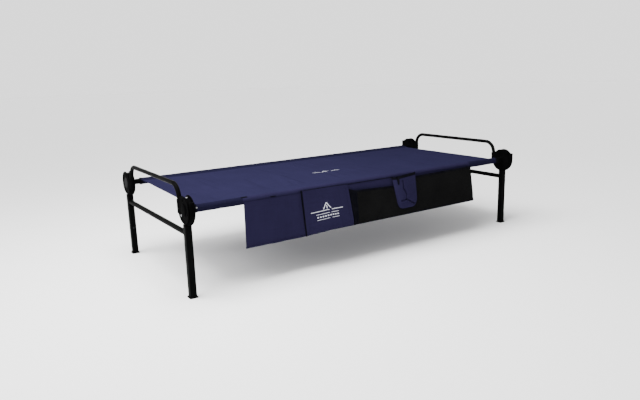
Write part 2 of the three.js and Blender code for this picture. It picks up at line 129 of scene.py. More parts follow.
def side_of(node):
    low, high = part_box(node)
    return high.x - low.x


DECK_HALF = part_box("deck_fabric")[1].x
RAIL_Z = centre("rail_left_front").z
RAIL_Y = centre("rail_left_back").y
HOOP_TOP_Z = level("hoop_left") - HOOP_R
HOOP_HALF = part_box("hoop_bend_left_back")[1].y - HOOP_R
HOOP_LOW_Z = level("hoop_bend_left_back", False)
FLAP_X0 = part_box("organizer_flap")[0].x
FLAP_X1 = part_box("organizer_flap")[1].x
FLAP_BACK_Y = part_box("organizer_flap")[1].y


class Corner:
    """One of the cot's four corners: its axis, its signs and its bodies."""

    def __init__(self, end, side):
        leg = centre(f"leg_{end}_{side}")
        self.name = f"{end}_{side}"
        self.sx = -1 if end == "left" else 1
        self.sy = -1 if side == "front" else 1
        self.x, self.y = leg.x, leg.y
        self.frame_body = f"end_frame_{end}"
        self.rail_body = f"rail_{self.name}"
        self.button_body = f"button_{self.name}"

    def at(self, out, lat, z):
        return Vector((self.x + self.sx * out, self.y + self.sy * lat, z))

    def turned(self, lat=0.0, up=0.0):
        """Places a turned profile on an axis along X, through lat and up from the rail's axis."""
        return lambda h, a, b: self.at(h, lat + a, RAIL_Z + up + b)

    def upright(self, lat):
        """Places a turned profile on a vertical axis."""
        return lambda h, a, b: self.at(a, lat + b, h)

    def inward(self, z):
        """Places a turned profile on an axis along Y that points to the bed's middle."""
        return lambda h, a, b: self.at(a, -h, z + b)


CORNERS = [Corner(end, side) for end in ("left", "right") for side in ("front", "back")]

# ---- mesh tools ----------------------------------------------------------------------------


def smooth(value, low, high):
    t = min(max((value - low) / (high - low), 0.0), 1.0)
    return t * t * (3 - 2 * t)


def spread(low, high, count):
    return [low + (high - low) * i / (count - 1) for i in range(count)]


def add_to_scene(name, data):
    obj = bpy.data.objects.new(name, data)
    bpy.context.scene.collection.objects.link(obj)
    return obj


def shade(obj, sharp):
    """Smooth, but for edges sharper than the given angle."""
    obj.data.shade_smooth()
    obj.data.set_sharp_from_angle(angle=math.radians(sharp))
    return obj


def add_object(name, verts, faces, sharp=35):
    """A mesh object with outward faces."""
    mesh = bpy.data.meshes.new(name)
    mesh.from_pydata(verts, [], faces)
    work = bmesh.new()
    work.from_mesh(mesh)
    bmesh.ops.recalc_face_normals(work, faces=work.faces)
    work.to_mesh(mesh)
    work.free()
    return shade(add_to_scene(name, mesh), sharp)


def modified(obj, kind, sharp, **settings):
    """The object with one modifier applied, shaded again."""
    modifier = obj.modifiers.new("made", kind)
    for key, value in settings.items():
        setattr(modifier, key, value)
    bpy.context.view_layer.update()
    evaluated = obj.evaluated_get(bpy.context.evaluated_depsgraph_get())
    mesh = bpy.data.meshes.new_from_object(evaluated)
    obj.modifiers.clear()
    obj.data = mesh
    return shade(obj, sharp)


def finish_piece(obj, body, slot, material, *nodes):
    obj.data.materials.append(material)
    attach(obj, body)
    if nodes:
        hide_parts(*nodes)
    return obj


def rounded(profile, radius, steps=4, closed=False):
    """The same outline with each corner turned into an arc of at most this radius."""
    points = [Vector(p) for p in profile]
    count = len(points)
    result = []
    for i, corner in enumerate(points):
        if not closed and i in (0, count - 1):
            result.append(tuple(corner))
            continue
        to_before, to_after = points[i - 1] - corner, points[(i + 1) % count] - corner
        turn = math.pi - to_before.angle(to_after)
        if turn < math.radians(12):
            result.append(tuple(corner))
            continue
        reach = min(radius * math.tan(turn / 2), 0.45 * to_before.length, 0.45 * to_after.length)
        start = corner + to_before.normalized() * reach
        end = corner + to_after.normalized() * reach
        for t in spread(0, 1, steps + 1):
            point = start * (1 - t) ** 2 + corner * 2 * t * (1 - t) + end * t ** 2
            result.append(tuple(point))
    return result


def dome(radius, height, steps, rim):
    """A quarter of an ellipse from the rim to the axis, as (radius, height above the rim)."""
    turns = spread(0, math.pi / 2, steps + 1)
    return [(radius * math.cos(turn), rim + height * math.sin(turn)) for turn in turns]


def bridge(a, b, count, closed=True):
    """Quads between two runs of count vertices, which start at a and at b."""
    steps = count if closed else count - 1
    return [(a + i, a + (i + 1) % count, b + (i + 1) % count, b + i) for i in range(steps)]


def lathe(name, profile, place, segments=64, sharp=35):
    """Turns a profile of (radius, height). It starts and ends on the axis, or closes on itself."""
    verts, faces, rings = [], [], []
    turns = [2 * math.pi * i / segments for i in range(segments)]
    for radius, height in profile:
        on_axis = radius < 1e-7
        rings.append((len(verts), on_axis))
        for turn in turns[:1] if on_axis else turns:
            verts.append(place(height, radius * math.cos(turn), radius * math.sin(turn)))
    pairs = list(zip(rings, rings[1:]))
    if not rings[0][1]:
        pairs.append((rings[-1], rings[0]))
    for (a, a_is_point), (b, b_is_point) in pairs:
        if a_is_point:
            faces += [(a, b + i, b + (i + 1) % segments) for i in range(segments)]
        elif b_is_point:
            faces += [(a + i, b, a + (i + 1) % segments) for i in range(segments)]
        else:
            faces += bridge(a, b, segments)
    return add_object(name, verts, faces, sharp)


def loft(name, sections, capped=False, sharp=35):
    """A skin through outlines of equal length, capped, or else with the last joined to the first."""
    count = len(sections[0])
    starts = [k * count for k in range(len(sections))]
    ends = starts[1:] if capped else starts[1:] + [0]
    faces = []
    for a, b in zip(starts, ends):
        faces += bridge(a, b, count)
    if capped:
        faces += [tuple(range(a, a + count)) for a in (0, starts[-1])]
    return add_object(name, [p for section in sections for p in section], faces, sharp)


def sweep(name, path, tangents, across, radius, wall, segments=40):
    """A tube along a path that lies in the plane whose normal is across."""
    verts, faces = [], []
    for point, tangent in zip(path, tangents):
        side = across.cross(tangent).normalized()
        for r in (radius, radius - wall):
            for turn in spread(0, 2 * math.pi, segments + 1)[:-1]:
                verts.append(point + (across * math.cos(turn) + side * math.sin(turn)) * r)
    ring = 2 * segments
    last = (len(path) - 1) * ring
    for k in range(0, last, ring):
        faces += bridge(k, k + ring, segments)
        faces += bridge(k + segments, k + ring + segments, segments)
    for k in (0, last):
        faces += bridge(k, k + segments, segments)
    return add_object(name, verts, faces, 50)


def square_section(corner, side, z, corner_r=LEG_CORNER_R):
    h = side / 2
    outline = rounded([(-h, -h), (h, -h), (h, h), (-h, h)], min(corner_r, side * 0.2), 5, closed=True)
    return [corner.at(a, b, z) for a, b in outline]


def square_tube(name, corner, levels):
    """A square tube's wall, turned through (side, z) levels that close on themselves."""
    return loft(name, [square_section(corner, side, z) for side, z in levels])


# ---- materials -----------------------------------------------------------------------------


class Shader:
    """A Principled material and short ways to wire its nodes."""

    def __init__(self, name, **constants):
        self.material = bpy.data.materials.new(name)
        self.material.use_nodes = True
        self.tree = self.material.node_tree
        self.bsdf = self.tree.nodes["Principled BSDF"]
        for key, value in constants.items():
            socket = key.replace("_", " ").title().replace("Ior", "IOR")
            self.bsdf.inputs[socket].default_value = value

    def node(self, kind, inputs=None, **settings):
        """A node with its inputs set to numbers, or linked where they are another node's output."""
        made = self.tree.nodes.new("ShaderNode" + kind)
        for key, value in settings.items():
            setattr(made, key, value)
        for key, value in (inputs or {}).items():
            if isinstance(value, bpy.types.NodeSocket):
                self.tree.links.new(value, made.inputs[key])
            else:
                made.inputs[key].default_value = value
        return made

    def coords(self, kind="Object"):
        return self.node("TexCoord").outputs[kind]

    def split(self, vector):
        return self.node("SeparateXYZ", {0: vector}).outputs

    def stretched(self, vector, scale):
        return self.node("Mapping", {"Vector": vector, "Scale": scale}).outputs["Vector"]

    def noise(self, vector, scale, detail=4.0, roughness=0.55):
        inputs = {"Vector": vector, "Scale": scale, "Detail": detail, "Roughness": roughness}
        return self.node("TexNoise", inputs).outputs["Fac"]

    def cells(self, vector, scale):
        return self.node("TexVoronoi", {"Vector": vector, "Scale": scale}).outputs["Distance"]

    def ramp(self, value, low, high, start=0.3, end=0.7):
        """A colour, or a number given as a grey, that runs from low to high."""
        made = self.node("ValToRGB", {"Fac": value})
        stops = made.color_ramp.elements
        for stop, place, colour in ((stops[0], start, low), (stops[1], end, high)):
            grey = isinstance(colour, (int, float))
            stop.position = place
            stop.color = (colour, colour, colour, 1) if grey else (*colour, 1)
        return made.outputs["Color"]

    def blend(self, factor, first, second, mode="MIX"):
        """Mixes two colours; a fixed one is given as three numbers."""
        inputs = {"Factor": factor}
        for key, value in (("A", first), ("B", second)):
            inputs[key] = (*value, 1) if isinstance(value, tuple) else value
        return self.node("Mix", inputs, data_type="RGBA", blend_type=mode).outputs["Result"]

    def math(self, operation, *values):
        return self.node("Math", dict(enumerate(values)), operation=operation).outputs["Value"]

    def bump(self, height, strength, distance, **under):
        inputs = {"Height": height, "Strength": strength, "Distance": distance, **under}
        return self.node("Bump", inputs).outputs["Normal"]

    def done(self, colour, rough, normal=None):
        for output, socket in ((colour, "Base Color"), (rough, "Roughness"), (normal, "Normal")):
            if output is not None:
                self.tree.links.new(output, self.bsdf.inputs[socket])
        return self.material


def painted_steel(name, dark, light, rubbed):
    """Satin black enamel: faint orange peel, cloudy sheen, a few fine rubbed specks."""
    s = Shader(name, specular_ior_level=0.005)
    at = s.coords()
    clouds = s.noise(at, 9, 5)
    specks = s.ramp(s.noise(at, 160, 6, 0.7), 0.0, 1.0, 0.66, 0.74)
    colour = s.blend(specks, s.ramp(clouds, dark, light), rubbed)
    return s.done(colour, s.ramp(clouds, 0.30, 0.46), s.bump(s.noise(at, 420, 2), 0.12, 0.0004))


def moulded_plastic(name, dark, light, grain=900):
    """Moulded plastic with a fine spark-eroded grain."""
    s = Shader(name, specular_ior_level=0.002)
    at = s.coords()
    clouds = s.noise(at, 14, 4)
    rubbed = s.ramp(s.noise(at, 55, 5, 0.65), 0.0, 1.0, 0.62, 0.78)
    colour = s.blend(rubbed, s.ramp(clouds, dark, light), tuple(c * 1.9 for c in light))
    return s.done(colour, s.ramp(clouds, 0.42, 0.58), s.bump(s.cells(at, grain), 0.22, 0.0003))


def rubber(name, dark, dusty):
    s = Shader(name, specular_ior_level=0.01)
    at = s.coords()
    dust = s.ramp(s.noise(at, 70, 6, 0.7), 0.0, 1.0, 0.5, 0.75)
    rough = s.ramp(s.noise(at, 30, 3), 0.72, 0.9)
    return s.done(s.blend(dust, dark, dusty), rough, s.bump(s.noise(at, 700, 3), 0.25, 0.0004))


def bright_steel(name, dark, light):
    s = Shader(name, metallic=1.0)
    at = s.coords()
    marks = s.noise(s.stretched(at, (1, 1, 14)), 190, 5, 0.7)
    rough = s.ramp(s.noise(at, 80, 4), 0.22, 0.42)
    return s.done(s.ramp(marks, dark, light), rough, s.bump(marks, 0.12, 0.0002))


def woven(name, dark, light, sheen, doubled_from=None):
    """Plain-woven polyester in a piece's UV frame, which is in metres along its threads.

    From doubled_from outwards across the bed the colour is darkened: painted shade for the floor's light,
    which shines through one layer of cloth but not through two.
    """
    pitch, slub, doubled_shade_share = 0.0009, 0.18, 0.60
    s = Shader(name, specular_ior_level=0.0, sheen_weight=sheen, sheen_roughness=0.5)
    s.bsdf.inputs["Sheen Tint"].default_value = (0.35, 0.36, 0.70, 1)
    at = s.coords("UV")
    ways = s.split(at)
    turns = 2 * math.pi / pitch
    warp, weft = (s.math("SINE", s.math("MULTIPLY", ways[axis], turns)) for axis in ("X", "Y"))
    along, across = (s.noise(s.stretched(at, scale), 1, 3) for scale in ((9, 260, 1), (260, 9, 1)))
    threads = s.math("MULTIPLY", s.math("ADD", along, across), 0.5)
    body = s.coords()
    base = s.ramp(s.noise(body, 4.5, 4), dark, light, 0.25, 0.75)
    low, high = (tuple(c * share for c in light) for share in (1 - slub, 1 + slub))
    colour = s.blend(0.45, base, s.ramp(threads, low, high, 0.34, 0.66))
    # Painted shade: the doubled sleeve band is darkened for the light from below that two layers hold
    # back.
    if doubled_from:
        away = s.math("ABSOLUTE", s.split(body)["Y"])
        doubled_shade = s.ramp(away, 1.0, doubled_shade_share, doubled_from, doubled_from + 0.002)
        colour = s.blend(1.0, colour, doubled_shade, "MULTIPLY")
    soft = s.bump(s.noise(body, 38, 4, 0.6), 0.18, 0.0016)
    nubs = s.bump(threads, 0.35, 0.0006, Normal=soft)
    weave = s.bump(s.math("MULTIPLY", warp, weft), 0.30, 0.0002, Normal=nubs)
    return s.done(colour, s.ramp(threads, 0.68, 0.88), weave)


def mesh_cloth(name, hole_shade, dark, light):
    """Knitted polyester mesh: staggered holes, drawn as dark sunk spots between the yarns, partly the
    cloth seen through them and partly painted shade inside them.
    """
    s = Shader(name, specular_ior_level=0.0)
    holes = s.ramp(s.cells(s.coords("UV"), 420), 0.0, 1.0, 0.18, 0.42)
    broad = s.noise(s.coords(), 7, 3)
    colour = s.blend(holes, hole_shade, s.ramp(broad, dark, light))
    return s.done(colour, s.ramp(broad, 0.7, 0.85), s.bump(holes, 0.5, 0.0008))


def tape_cloth(name, dark, light):
    """Binding tape with ribs across it."""
    rib_pitch = 0.0014
    s = Shader(name, specular_ior_level=0.0)
    along = s.split(s.coords("UV"))["X"]
    ribs = s.math("SINE", s.math("MULTIPLY", along, 2 * math.pi / rib_pitch))
    clouds = s.noise(s.coords(), 30, 4)
    return s.done(s.ramp(clouds, dark, light), s.ramp(clouds, 0.6, 0.8), s.bump(ribs, 0.4, 0.0003))


def thread(name, dark, light):
    s = Shader(name, specular_ior_level=0.0)
    twist = s.noise(s.coords(), 2600, 2)
    return s.done(s.ramp(twist, dark, light), s.ramp(twist, 0.5, 0.75), s.bump(twist, 0.3, 0.0002))


def ink(name, worn_through, full):
    """Screen-printed ink, thin enough to show the weave's unevenness."""
    s = Shader(name, specular_ior_level=0.25)
    worn = s.noise(s.coords(), 420, 5, 0.7)
    colour = s.ramp(worn, worn_through, full, 0.30, 0.52)
    return s.done(colour, s.ramp(worn, 0.55, 0.8), s.bump(worn, 0.3, 0.0002))


STEEL = painted_steel(
    "frame_black", (0.0013, 0.0013, 0.0013), (0.0025, 0.0025, 0.0026), (0.005, 0.005, 0.0052))
PLASTIC = moulded_plastic("moulded_black", (0.0010, 0.0010, 0.0011), (0.0021, 0.0021, 0.0022))
DISC = moulded_plastic("disc_black", (0.0009, 0.0009, 0.0010), (0.0018, 0.0018, 0.0019), 1300)
# A lighter grey used on one hub only: a painted reflection.
HUB_GLINT_GREY = moulded_plastic("hub_grey", (0.013, 0.013, 0.0133), (0.019, 0.019, 0.0195))
RUBBER = rubber("foot_rubber", (0.0020, 0.0020, 0.0020), (0.0060, 0.0058, 0.0055))
SILVER = bright_steel("rivet_silver", (0.13, 0.13, 0.135), (0.25, 0.25, 0.26))
WORN_SILVER = bright_steel("button_steel", (0.020, 0.020, 0.021), (0.045, 0.045, 0.047))
DECK = woven("deck_navy", (0.0088, 0.0079, 0.0218), (0.0114, 0.0102, 0.0278), 0.008, doubled_from=0.370)
ORGANIZER = woven("organizer_navy", (0.0094, 0.0078, 0.0222), (0.0120, 0.0100, 0.0278), 0.004)
MESH = mesh_cloth(
    "mesh_black", (0.0020, 0.0020, 0.0022), (0.0040, 0.0040, 0.0041), (0.0056, 0.0056, 0.0057))
TAPE = tape_cloth("tape_black", (0.0022, 0.0022, 0.0034), (0.0045, 0.0045, 0.0065))
NAVY_THREAD = thread("thread_navy", (0.010, 0.010, 0.030), (0.022, 0.021, 0.060))
BLACK_THREAD = thread("thread_black", (0.003, 0.003, 0.004), (0.010, 0.010, 0.011))
INK = ink("print_white", (0.26, 0.26, 0.32), (0.50, 0.51, 0.56))

# ---- legs, feet and buttons ----------------------------------------------------------------


def make_leg(corner):
    """A square tube that steps in, inside the leg extension, to a plug of its own wall."""
    node = f"leg_{corner.name}"
    side = side_of(node)
    low, high = level(node, False), level(node)
    split = level(f"leg_extension_{corner.name}") + 0.0003
    shoulder = split + 0.027
    bore = side - 2 * STEEL_WALL
    plug = bore - 0.0006
    plug_bore = plug - 2 * STEEL_WALL
    chamfer = 0.0006
    levels = [
        (side - 2 * chamfer, split), (side, split + chamfer),
        (side, high - chamfer), (side - 2 * chamfer, high),
        (bore, high), (bore, shoulder),
        (plug_bore, shoulder), (plug_bore, low),
        (plug, low), (plug, split)]
    return square_tube(f"{node}.fine", corner, levels)


def make_extension(corner):
    node = f"leg_extension_{corner.name}"
    side = side_of(node)
    bore = side - 2 * STEEL_WALL
    low, high = level(node, False), level(node)
    chamfer = 0.0006
    levels = [(side, low), (side, high - chamfer), (side - 2 * chamfer, high), (bore, high), (bore, low)]
    tube = square_tube(f"{node}.fine", corner, levels)
    reach = 0.03
    profile = [(0, 0), (BUTTON_HOLE_R, 0), (BUTTON_HOLE_R, reach), (0, reach)]
    drill = lathe("drill", profile, corner.inward(centre(f"snap_button_{corner.name}").z), 32)
    modified(tube, "BOOLEAN", 35, operation="DIFFERENCE", solver="EXACT", object=drill)
    bpy.data.objects.remove(drill)
    return tube


def make_button(corner):
    """The dome that shows, its pin and the shoulder inside the leg."""
    node = f"snap_button_{corner.name}"
    back, tip = sorted(abs(place.y - corner.y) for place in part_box(node))
    pin, shoulder, rise = 0.0035, 0.0055, 0.0024
    profile = [(0, back), (shoulder, back), (shoulder, back + 0.002), (pin, back + 0.002)]
    profile += dome(pin, rise, 8, tip - rise)
    return lathe(f"{node}.fine", profile, corner.inward(centre(node).z), 32)


def make_foot(corner):
    """A square rubber cap with a soft edge, and its plug inside the tube."""
    node = f"foot_cap_{corner.name}"
    side, top = side_of(node), level(node)
    plug, flange = 0.0264, 0.006
    levels = [
        (side - 0.003, 0.0), (side - 0.0006, 0.0007), (side, 0.0018), (side, 0.0036),
        (side - 0.0014, 0.0050), (side - 0.0044, flange),
        (plug, flange), (plug, top - 0.003), (plug - 0.003, top)]
    sections = [square_section(corner, width, z, 0.005) for width, z in levels]
    return loft(f"{node}.fine", sections, capped=True, sharp=40)


# ---- saddle, spool and disc ----------------------------------------------------------------


def saddle_outline():
    """The U with its tongue, in (lat, up from the rail's axis)."""
    def arc(radius, start, end):
        return [(radius * math.sin(turn), -radius * math.cos(turn)) for turn in spread(start, end, 45)]

    outer_top, inner_top = SADDLE_OUTER_TOP_Z - RAIL_Z, SADDLE_INNER_TOP_Z - RAIL_Z
    quarter = math.pi / 2
    tongue_turn = math.asin(TONGUE_HALF / SADDLE_R)
    tongue = [(TONGUE_HALF, TONGUE_LOW_Z - RAIL_Z), (-TONGUE_HALF, TONGUE_LOW_Z - RAIL_Z)]
    outer = arc(SADDLE_R, quarter, tongue_turn) + tongue + arc(SADDLE_R, -tongue_turn, -quarter)
    inner_arm = [(-SADDLE_R, inner_top), (-SADDLE_SLOT_R, inner_top)]
    slot = arc(SADDLE_SLOT_R, -quarter, quarter)
    return [(SADDLE_R, outer_top)] + outer + inner_arm + slot + [(SADDLE_SLOT_R, outer_top)]


def make_saddle(corner):
    levels = (SADDLE_INNER, SADDLE_OUTER)
    sections = [[corner.at(out, a, RAIL_Z + b) for a, b in saddle_outline()] for out in levels]
    saddle = loft(f"saddle_{corner.name}.fine", sections, capped=True)
    return modified(saddle, "BEVEL", 50, width=0.0011, segments=3, limit_method="ANGLE",
                    angle_limit=math.radians(40), harden_normals=False)


def make_collar(corner):
    """Fills the leg's mouth round the saddle's tongue."""
    low, high, side, bore = level(f"leg_{corner.name}") + 0.0001, 0.3262, 0.0298, 0.018
    levels = [(side, low), (side, high - 0.0012), (side - 0.0024, high), (bore, high), (bore, low)]
    return square_tube(f"leg_collar_{corner.name}", corner, levels)


def make_socket(corner):
    """The round socket on the saddle's inner arm that takes the hoop."""
    low, high, outer, bore = 0.362, SADDLE_INNER_TOP_Z, 0.0123, 0.0103
    lip = outer + 0.0008
    profile = [
        (0, low), (outer - 0.003, low), (outer, low + 0.004), (outer, high - 0.006),
        (lip, high - 0.005), (lip, high), (bore, high), (bore, low + 0.003), (0, low + 0.003)]
    place = corner.upright(HOOP_HALF - abs(corner.y))
    return lathe(f"hoop_socket_{corner.name}", rounded(profile, 0.0008, 3), place, 48)


def make_outer_disc(corner):
    """A dished disc with a rolled rim and two raised rings round its middle."""
    back = 0.009
    rim, face = back + 0.005, back + 0.0022
    ring, boss = face + 0.0008, back + 0.0034
    profile = [
        (0, back), (DISC_R - 0.0012, back), (DISC_R, back + 0.0012), (DISC_R, back + 0.0036),
        (DISC_R - 0.0012, rim), (DISC_R - 0.0034, rim), (DISC_R - 0.006, face + 0.0004),
        (0.052, face), (0.0505, ring), (0.0495, ring), (0.048, face),
        (0.0375, face), (0.036, ring), (0.0350, ring), (0.0335, face),
        (0.032, face), (0.030, boss), (0, boss)]
    return lathe(f"outer_disc_{corner.name}.fine", rounded(profile, 0.0007, 2), corner.turned(), 96)


def make_hub(corner):
    """The domed boss in the middle of the outer disc, with a ring round it."""
    back, radius = 0.0120, 0.028
    front = max(abs(v.x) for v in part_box(f"outer_disc_{corner.name}")) - abs(corner.x)
    groove_back = back + 0.0021
    profile = [
        (0, back), (radius, back), (radius, back + 0.0016), (radius - 0.0012, back + 0.0026),
        (radius - 0.0030, back + 0.0028), (radius - 0.0042, groove_back), (radius - 0.0054, groove_back),
        (radius - 0.0070, back + 0.0029), (radius * 0.5, front - 0.0002),
        (0.004, front), (0.0030, front - 0.0008), (0, front - 0.0010)]
    return lathe(f"disc_hub_{corner.name}", rounded(profile, 0.0006, 3), corner.turned(), 80)


def make_spool(corner):
    """Inner disc, drum and hub in one moulding."""
    inner, web, outer = -0.0183, -0.0138, 0.0087
    bore, hub, drum_bore, soft = RAIL_R + 0.0003, 0.0173, DRUM_R - 0.003, 0.0014
    dish = inner + 0.0012
    profile = [
        (bore, inner), (hub, inner), (hub + 0.0015, dish), (0.050, dish), (0.053, inner),
        (DISC_R - soft, inner), (DISC_R, inner + soft), (DISC_R, web - soft), (DISC_R - soft, web),
        (DRUM_R, web), (DRUM_R, outer), (drum_bore, outer), (drum_bore, web),
        (hub, web), (hub, outer), (bore, outer)]
    outline = rounded(profile, 0.0006, 2, closed=True)
    return lathe(f"spool_{corner.name}.fine", outline, corner.turned(), 96)


def rivet_profile(low, high, shank_r, head_r, head):
    """A rivet with a low dome on both ends, along its axis."""
    shank = [(shank_r, low), (shank_r, high)]
    return dome(head_r, -head, 6, low)[::-1] + shank + dome(head_r, head, 6, high)


def make_rivet(corner, node):
    """A disc's rivet in two halves, its inner head and its outer head."""
    low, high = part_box(node)
    place = (low + high) / 2
    inner_end, outer_end = sorted(abs(v.x) - abs(corner.x) for v in (low, high))
    head = 0.002
    profile = rivet_profile(inner_end + head, outer_end - head, 0.0029, RIVET_HEAD_R, head)
    half = len(profile) // 2
    joint = [(0, profile[half - 1][1])]
    turned = corner.turned((place.y - corner.y) * corner.sy, place.z - RAIL_Z)
    inner = lathe(f"{node}.inner", profile[:half] + joint, turned, 28)
    outer = lathe(f"{node}.outer", joint + profile[half - 1:], turned, 28)
    return inner, outer


def make_rail_rivet(corner):
    """Goes across the rail, just inboard of the spool, and through the one sleeve that reaches it."""
    out, up = -0.041, 0.006
    skin = SLEEVE_R + 0.0012 if corner.name == "left_front" else RAIL_R
    reach = math.sqrt(skin ** 2 - up ** 2)
    profile = rivet_profile(-reach, reach, 0.0024, 0.0038, 0.0019)

    def place(h, a, b):
        return corner.at(out + a, h, RAIL_Z + up + b)
    return lathe(f"rail_rivet_{corner.name}", profile, place, 24)


def make_drum_screw(corner):
    """A pan-head screw in the top of the drum."""
    turn = math.radians(86)
    direction = Vector((0, corner.sy * math.cos(turn), math.sin(turn)))
    across = Vector((0, -direction.z, direction.y))
    base = corner.at(-0.005, 0, RAIL_Z)
    shank, head, tip, seat = 0.0022, 0.0056, 0.046, DRUM_R - 0.0001
    profile = [(0, tip), (shank, tip), (shank, seat), (head, seat)]
    profile += dome(head, 0.0026, 6, DRUM_R + 0.0002)

    def place(h, a, b):
        return base + direction * h + Vector((a, 0, 0)) + across * b
    return lathe(f"drum_screw_{corner.name}", profile, place, 28)


# ---- tubes ---------------------------------------------------------------------------------


def make_rail(corner):
    node = f"rail_{corner.name}"
    low, high = (place.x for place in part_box(node))
    bore, soft = RAIL_R - RAIL_WALL, 0.0005
    profile = [
        (bore, low), (RAIL_R - soft, low), (RAIL_R, low + soft),
        (RAIL_R, high - soft), (RAIL_R - soft, high), (bore, high)]
    return lathe(f"{node}.fine", profile, lambda h, a, b: Vector((h, corner.y + a, RAIL_Z + b)), 48)


def make_connector(side):
    node = f"rail_connector_{side}"
    low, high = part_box(node)
    radius = (high.z - low.z) / 2
    bore = radius - RAIL_WALL
    y = centre(node).y
    profile = [(bore, low.x), (radius, low.x), (radius, high.x), (bore, high.x)]
    return lathe(f"{node}.fine", profile, lambda h, a, b: Vector((h, y + a, RAIL_Z + b)), 40)


def make_crossbar(end):
    """A round tube welded between the legs, with its weld beads."""
    node = f"crossbar_{end}"
    axis, reach = centre(node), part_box(node)[1].y
    r, bead = CROSSBAR_R, 0.0022
    weld = [(r - STEEL_WALL, 0), (r + bead, 0), (r + bead * 0.75, bead * 0.75), (r, bead * 1.5)]
    profile = [(a, along - reach) for a, along in weld] + [(a, reach - along) for a, along in weld[::-1]]
    return lathe(f"{node}.fine", profile, lambda h, a, b: Vector((axis.x + a, h, axis.z + b)), 48)


def make_hoop(end):
    """Up, round a bend, across, round a bend and down."""
    x = centre(f"hoop_{end}").x
    path, tangents = [Vector((x, -HOOP_HALF, HOOP_LOW_Z))], [Vector((0, 0, 1))]
    bend_y, quarter = HOOP_HALF - HOOP_BEND_R, math.pi / 2
    for y, start in ((-bend_y, math.pi), (bend_y, quarter)):
        for turn in spread(start, start - quarter, 21):
            c, s = math.cos(turn), math.sin(turn)
            path.append(Vector((x, y + HOOP_BEND_R * c, HOOP_TOP_Z - HOOP_BEND_R * (1 - s))))
            tangents.append(Vector((0, s, -c)))
    path.append(Vector((x, HOOP_HALF, HOOP_LOW_Z)))
    tangents.append(Vector((0, 0, -1)))
    return sweep(f"hoop_{end}.fine", path, tangents, Vector((1, 0, 0)), HOOP_R, STEEL_WALL)


# ---- the frame's pieces --------------------------------------------------------------------

ENAMEL = ("frame_black", STEEL)
MOULDED = ("moulded_black", PLASTIC)
DISC_BLACK = ("moulded_black", DISC)
# Bright steel: bare on the drum screws, and a painted glint where it is given to two near-left rivets
# only.
BARE_OR_GLINT = ("rivet_silver", SILVER)

for corner in CORNERS:
    name, frame_body, rail_body = corner.name, corner.frame_body, corner.rail_body
    near_left, far_left = name == "left_front", name == "left_back"
    finish_piece(make_leg(corner), frame_body, *ENAMEL, f"leg_{name}")
    finish_piece(make_extension(corner), frame_body, *ENAMEL, f"leg_extension_{name}")
    finish_piece(make_foot(corner), frame_body, "foot_rubber", RUBBER, f"foot_cap_{name}")
    button = make_button(corner)
    finish_piece(button, corner.button_body, "rivet_silver", WORN_SILVER, f"snap_button_{name}")
    finish_piece(make_saddle(corner), frame_body, *MOULDED, f"saddle_{name}")
    finish_piece(make_socket(corner), frame_body, *MOULDED)
    finish_piece(make_collar(corner), frame_body, *MOULDED)
    finish_piece(make_outer_disc(corner), rail_body, *DISC_BLACK, f"outer_disc_{name}")
    # Only the far-left hub is lighter grey and the other three are black: a painted reflection on hubs
    # that are alike.
    finish_piece(make_hub(corner), rail_body, "moulded_black", HUB_GLINT_GREY if far_left else DISC)
    finish_piece(make_spool(corner), rail_body, *DISC_BLACK, f"spool_{name}")
    for i in (1, 2, 3):
        node = f"rivet_{name}_{i}"
        inner, outer = make_rivet(corner, node)
        finish_piece(inner, rail_body, *DISC_BLACK, node)
        # Of the outer rivet heads only the near-left third one is bright steel and the rest black: a
        # painted glint on rivets that are alike.
        finish_piece(outer, rail_body, *(BARE_OR_GLINT if near_left and i == 3 else DISC_BLACK), node)
    finish_piece(make_rail(corner), rail_body, *ENAMEL, f"rail_{name}")
    # Only the near-left rail rivet is bright steel and the others black: a painted glint on rivets that
    # are alike.
    finish_piece(make_rail_rivet(corner), rail_body, *(BARE_OR_GLINT if near_left else DISC_BLACK))
    finish_piece(make_drum_screw(corner), rail_body, *BARE_OR_GLINT)

for side in ("front", "back"):
    finish_piece(make_connector(side), f"rail_right_{side}", *ENAMEL, f"rail_connector_{side}")

for end in ("left", "right"):
    finish_piece(make_crossbar(end), f"end_frame_{end}", *ENAMEL, f"crossbar_{end}")
    lengths = [f"hoop_{end}", f"hoop_bend_{end}_front", f"hoop_bend_{end}_back"]
    finish_piece(make_hoop(end), f"end_frame_{end}", *ENAMEL, *lengths)

# ---- cloth tools ---------------------------------------------------------------------------


def cloth_grid(name, us, vs, point, towards, thickness=CLOTH_THICK, uv=None):
    """A sheet through point(u, v), given thickness behind the side that faces towards."""
    grid = [(u, v) for u in us for v in vs]
    count = len(vs)
    faces = []
    for row in range(len(us) - 1):
        faces += bridge(row * count, (row + 1) * count, count, closed=False)
    mesh = bpy.data.meshes.new(name)
    mesh.from_pydata([point(u, v) for u, v in grid], [], faces)
    if mesh.polygons[len(faces) // 2].normal.dot(Vector(towards)) < 0:
        mesh.flip_normals()
    layer = mesh.uv_layers.new(name="threads")
    for loop in mesh.loops:
        u, v = grid[loop.vertex_index]
        layer.data[loop.index].uv = uv(u, v) if uv else (u, v)
    return modified(add_to_scene(name, mesh), "SOLIDIFY", 60, thickness=thickness, offset=-1)


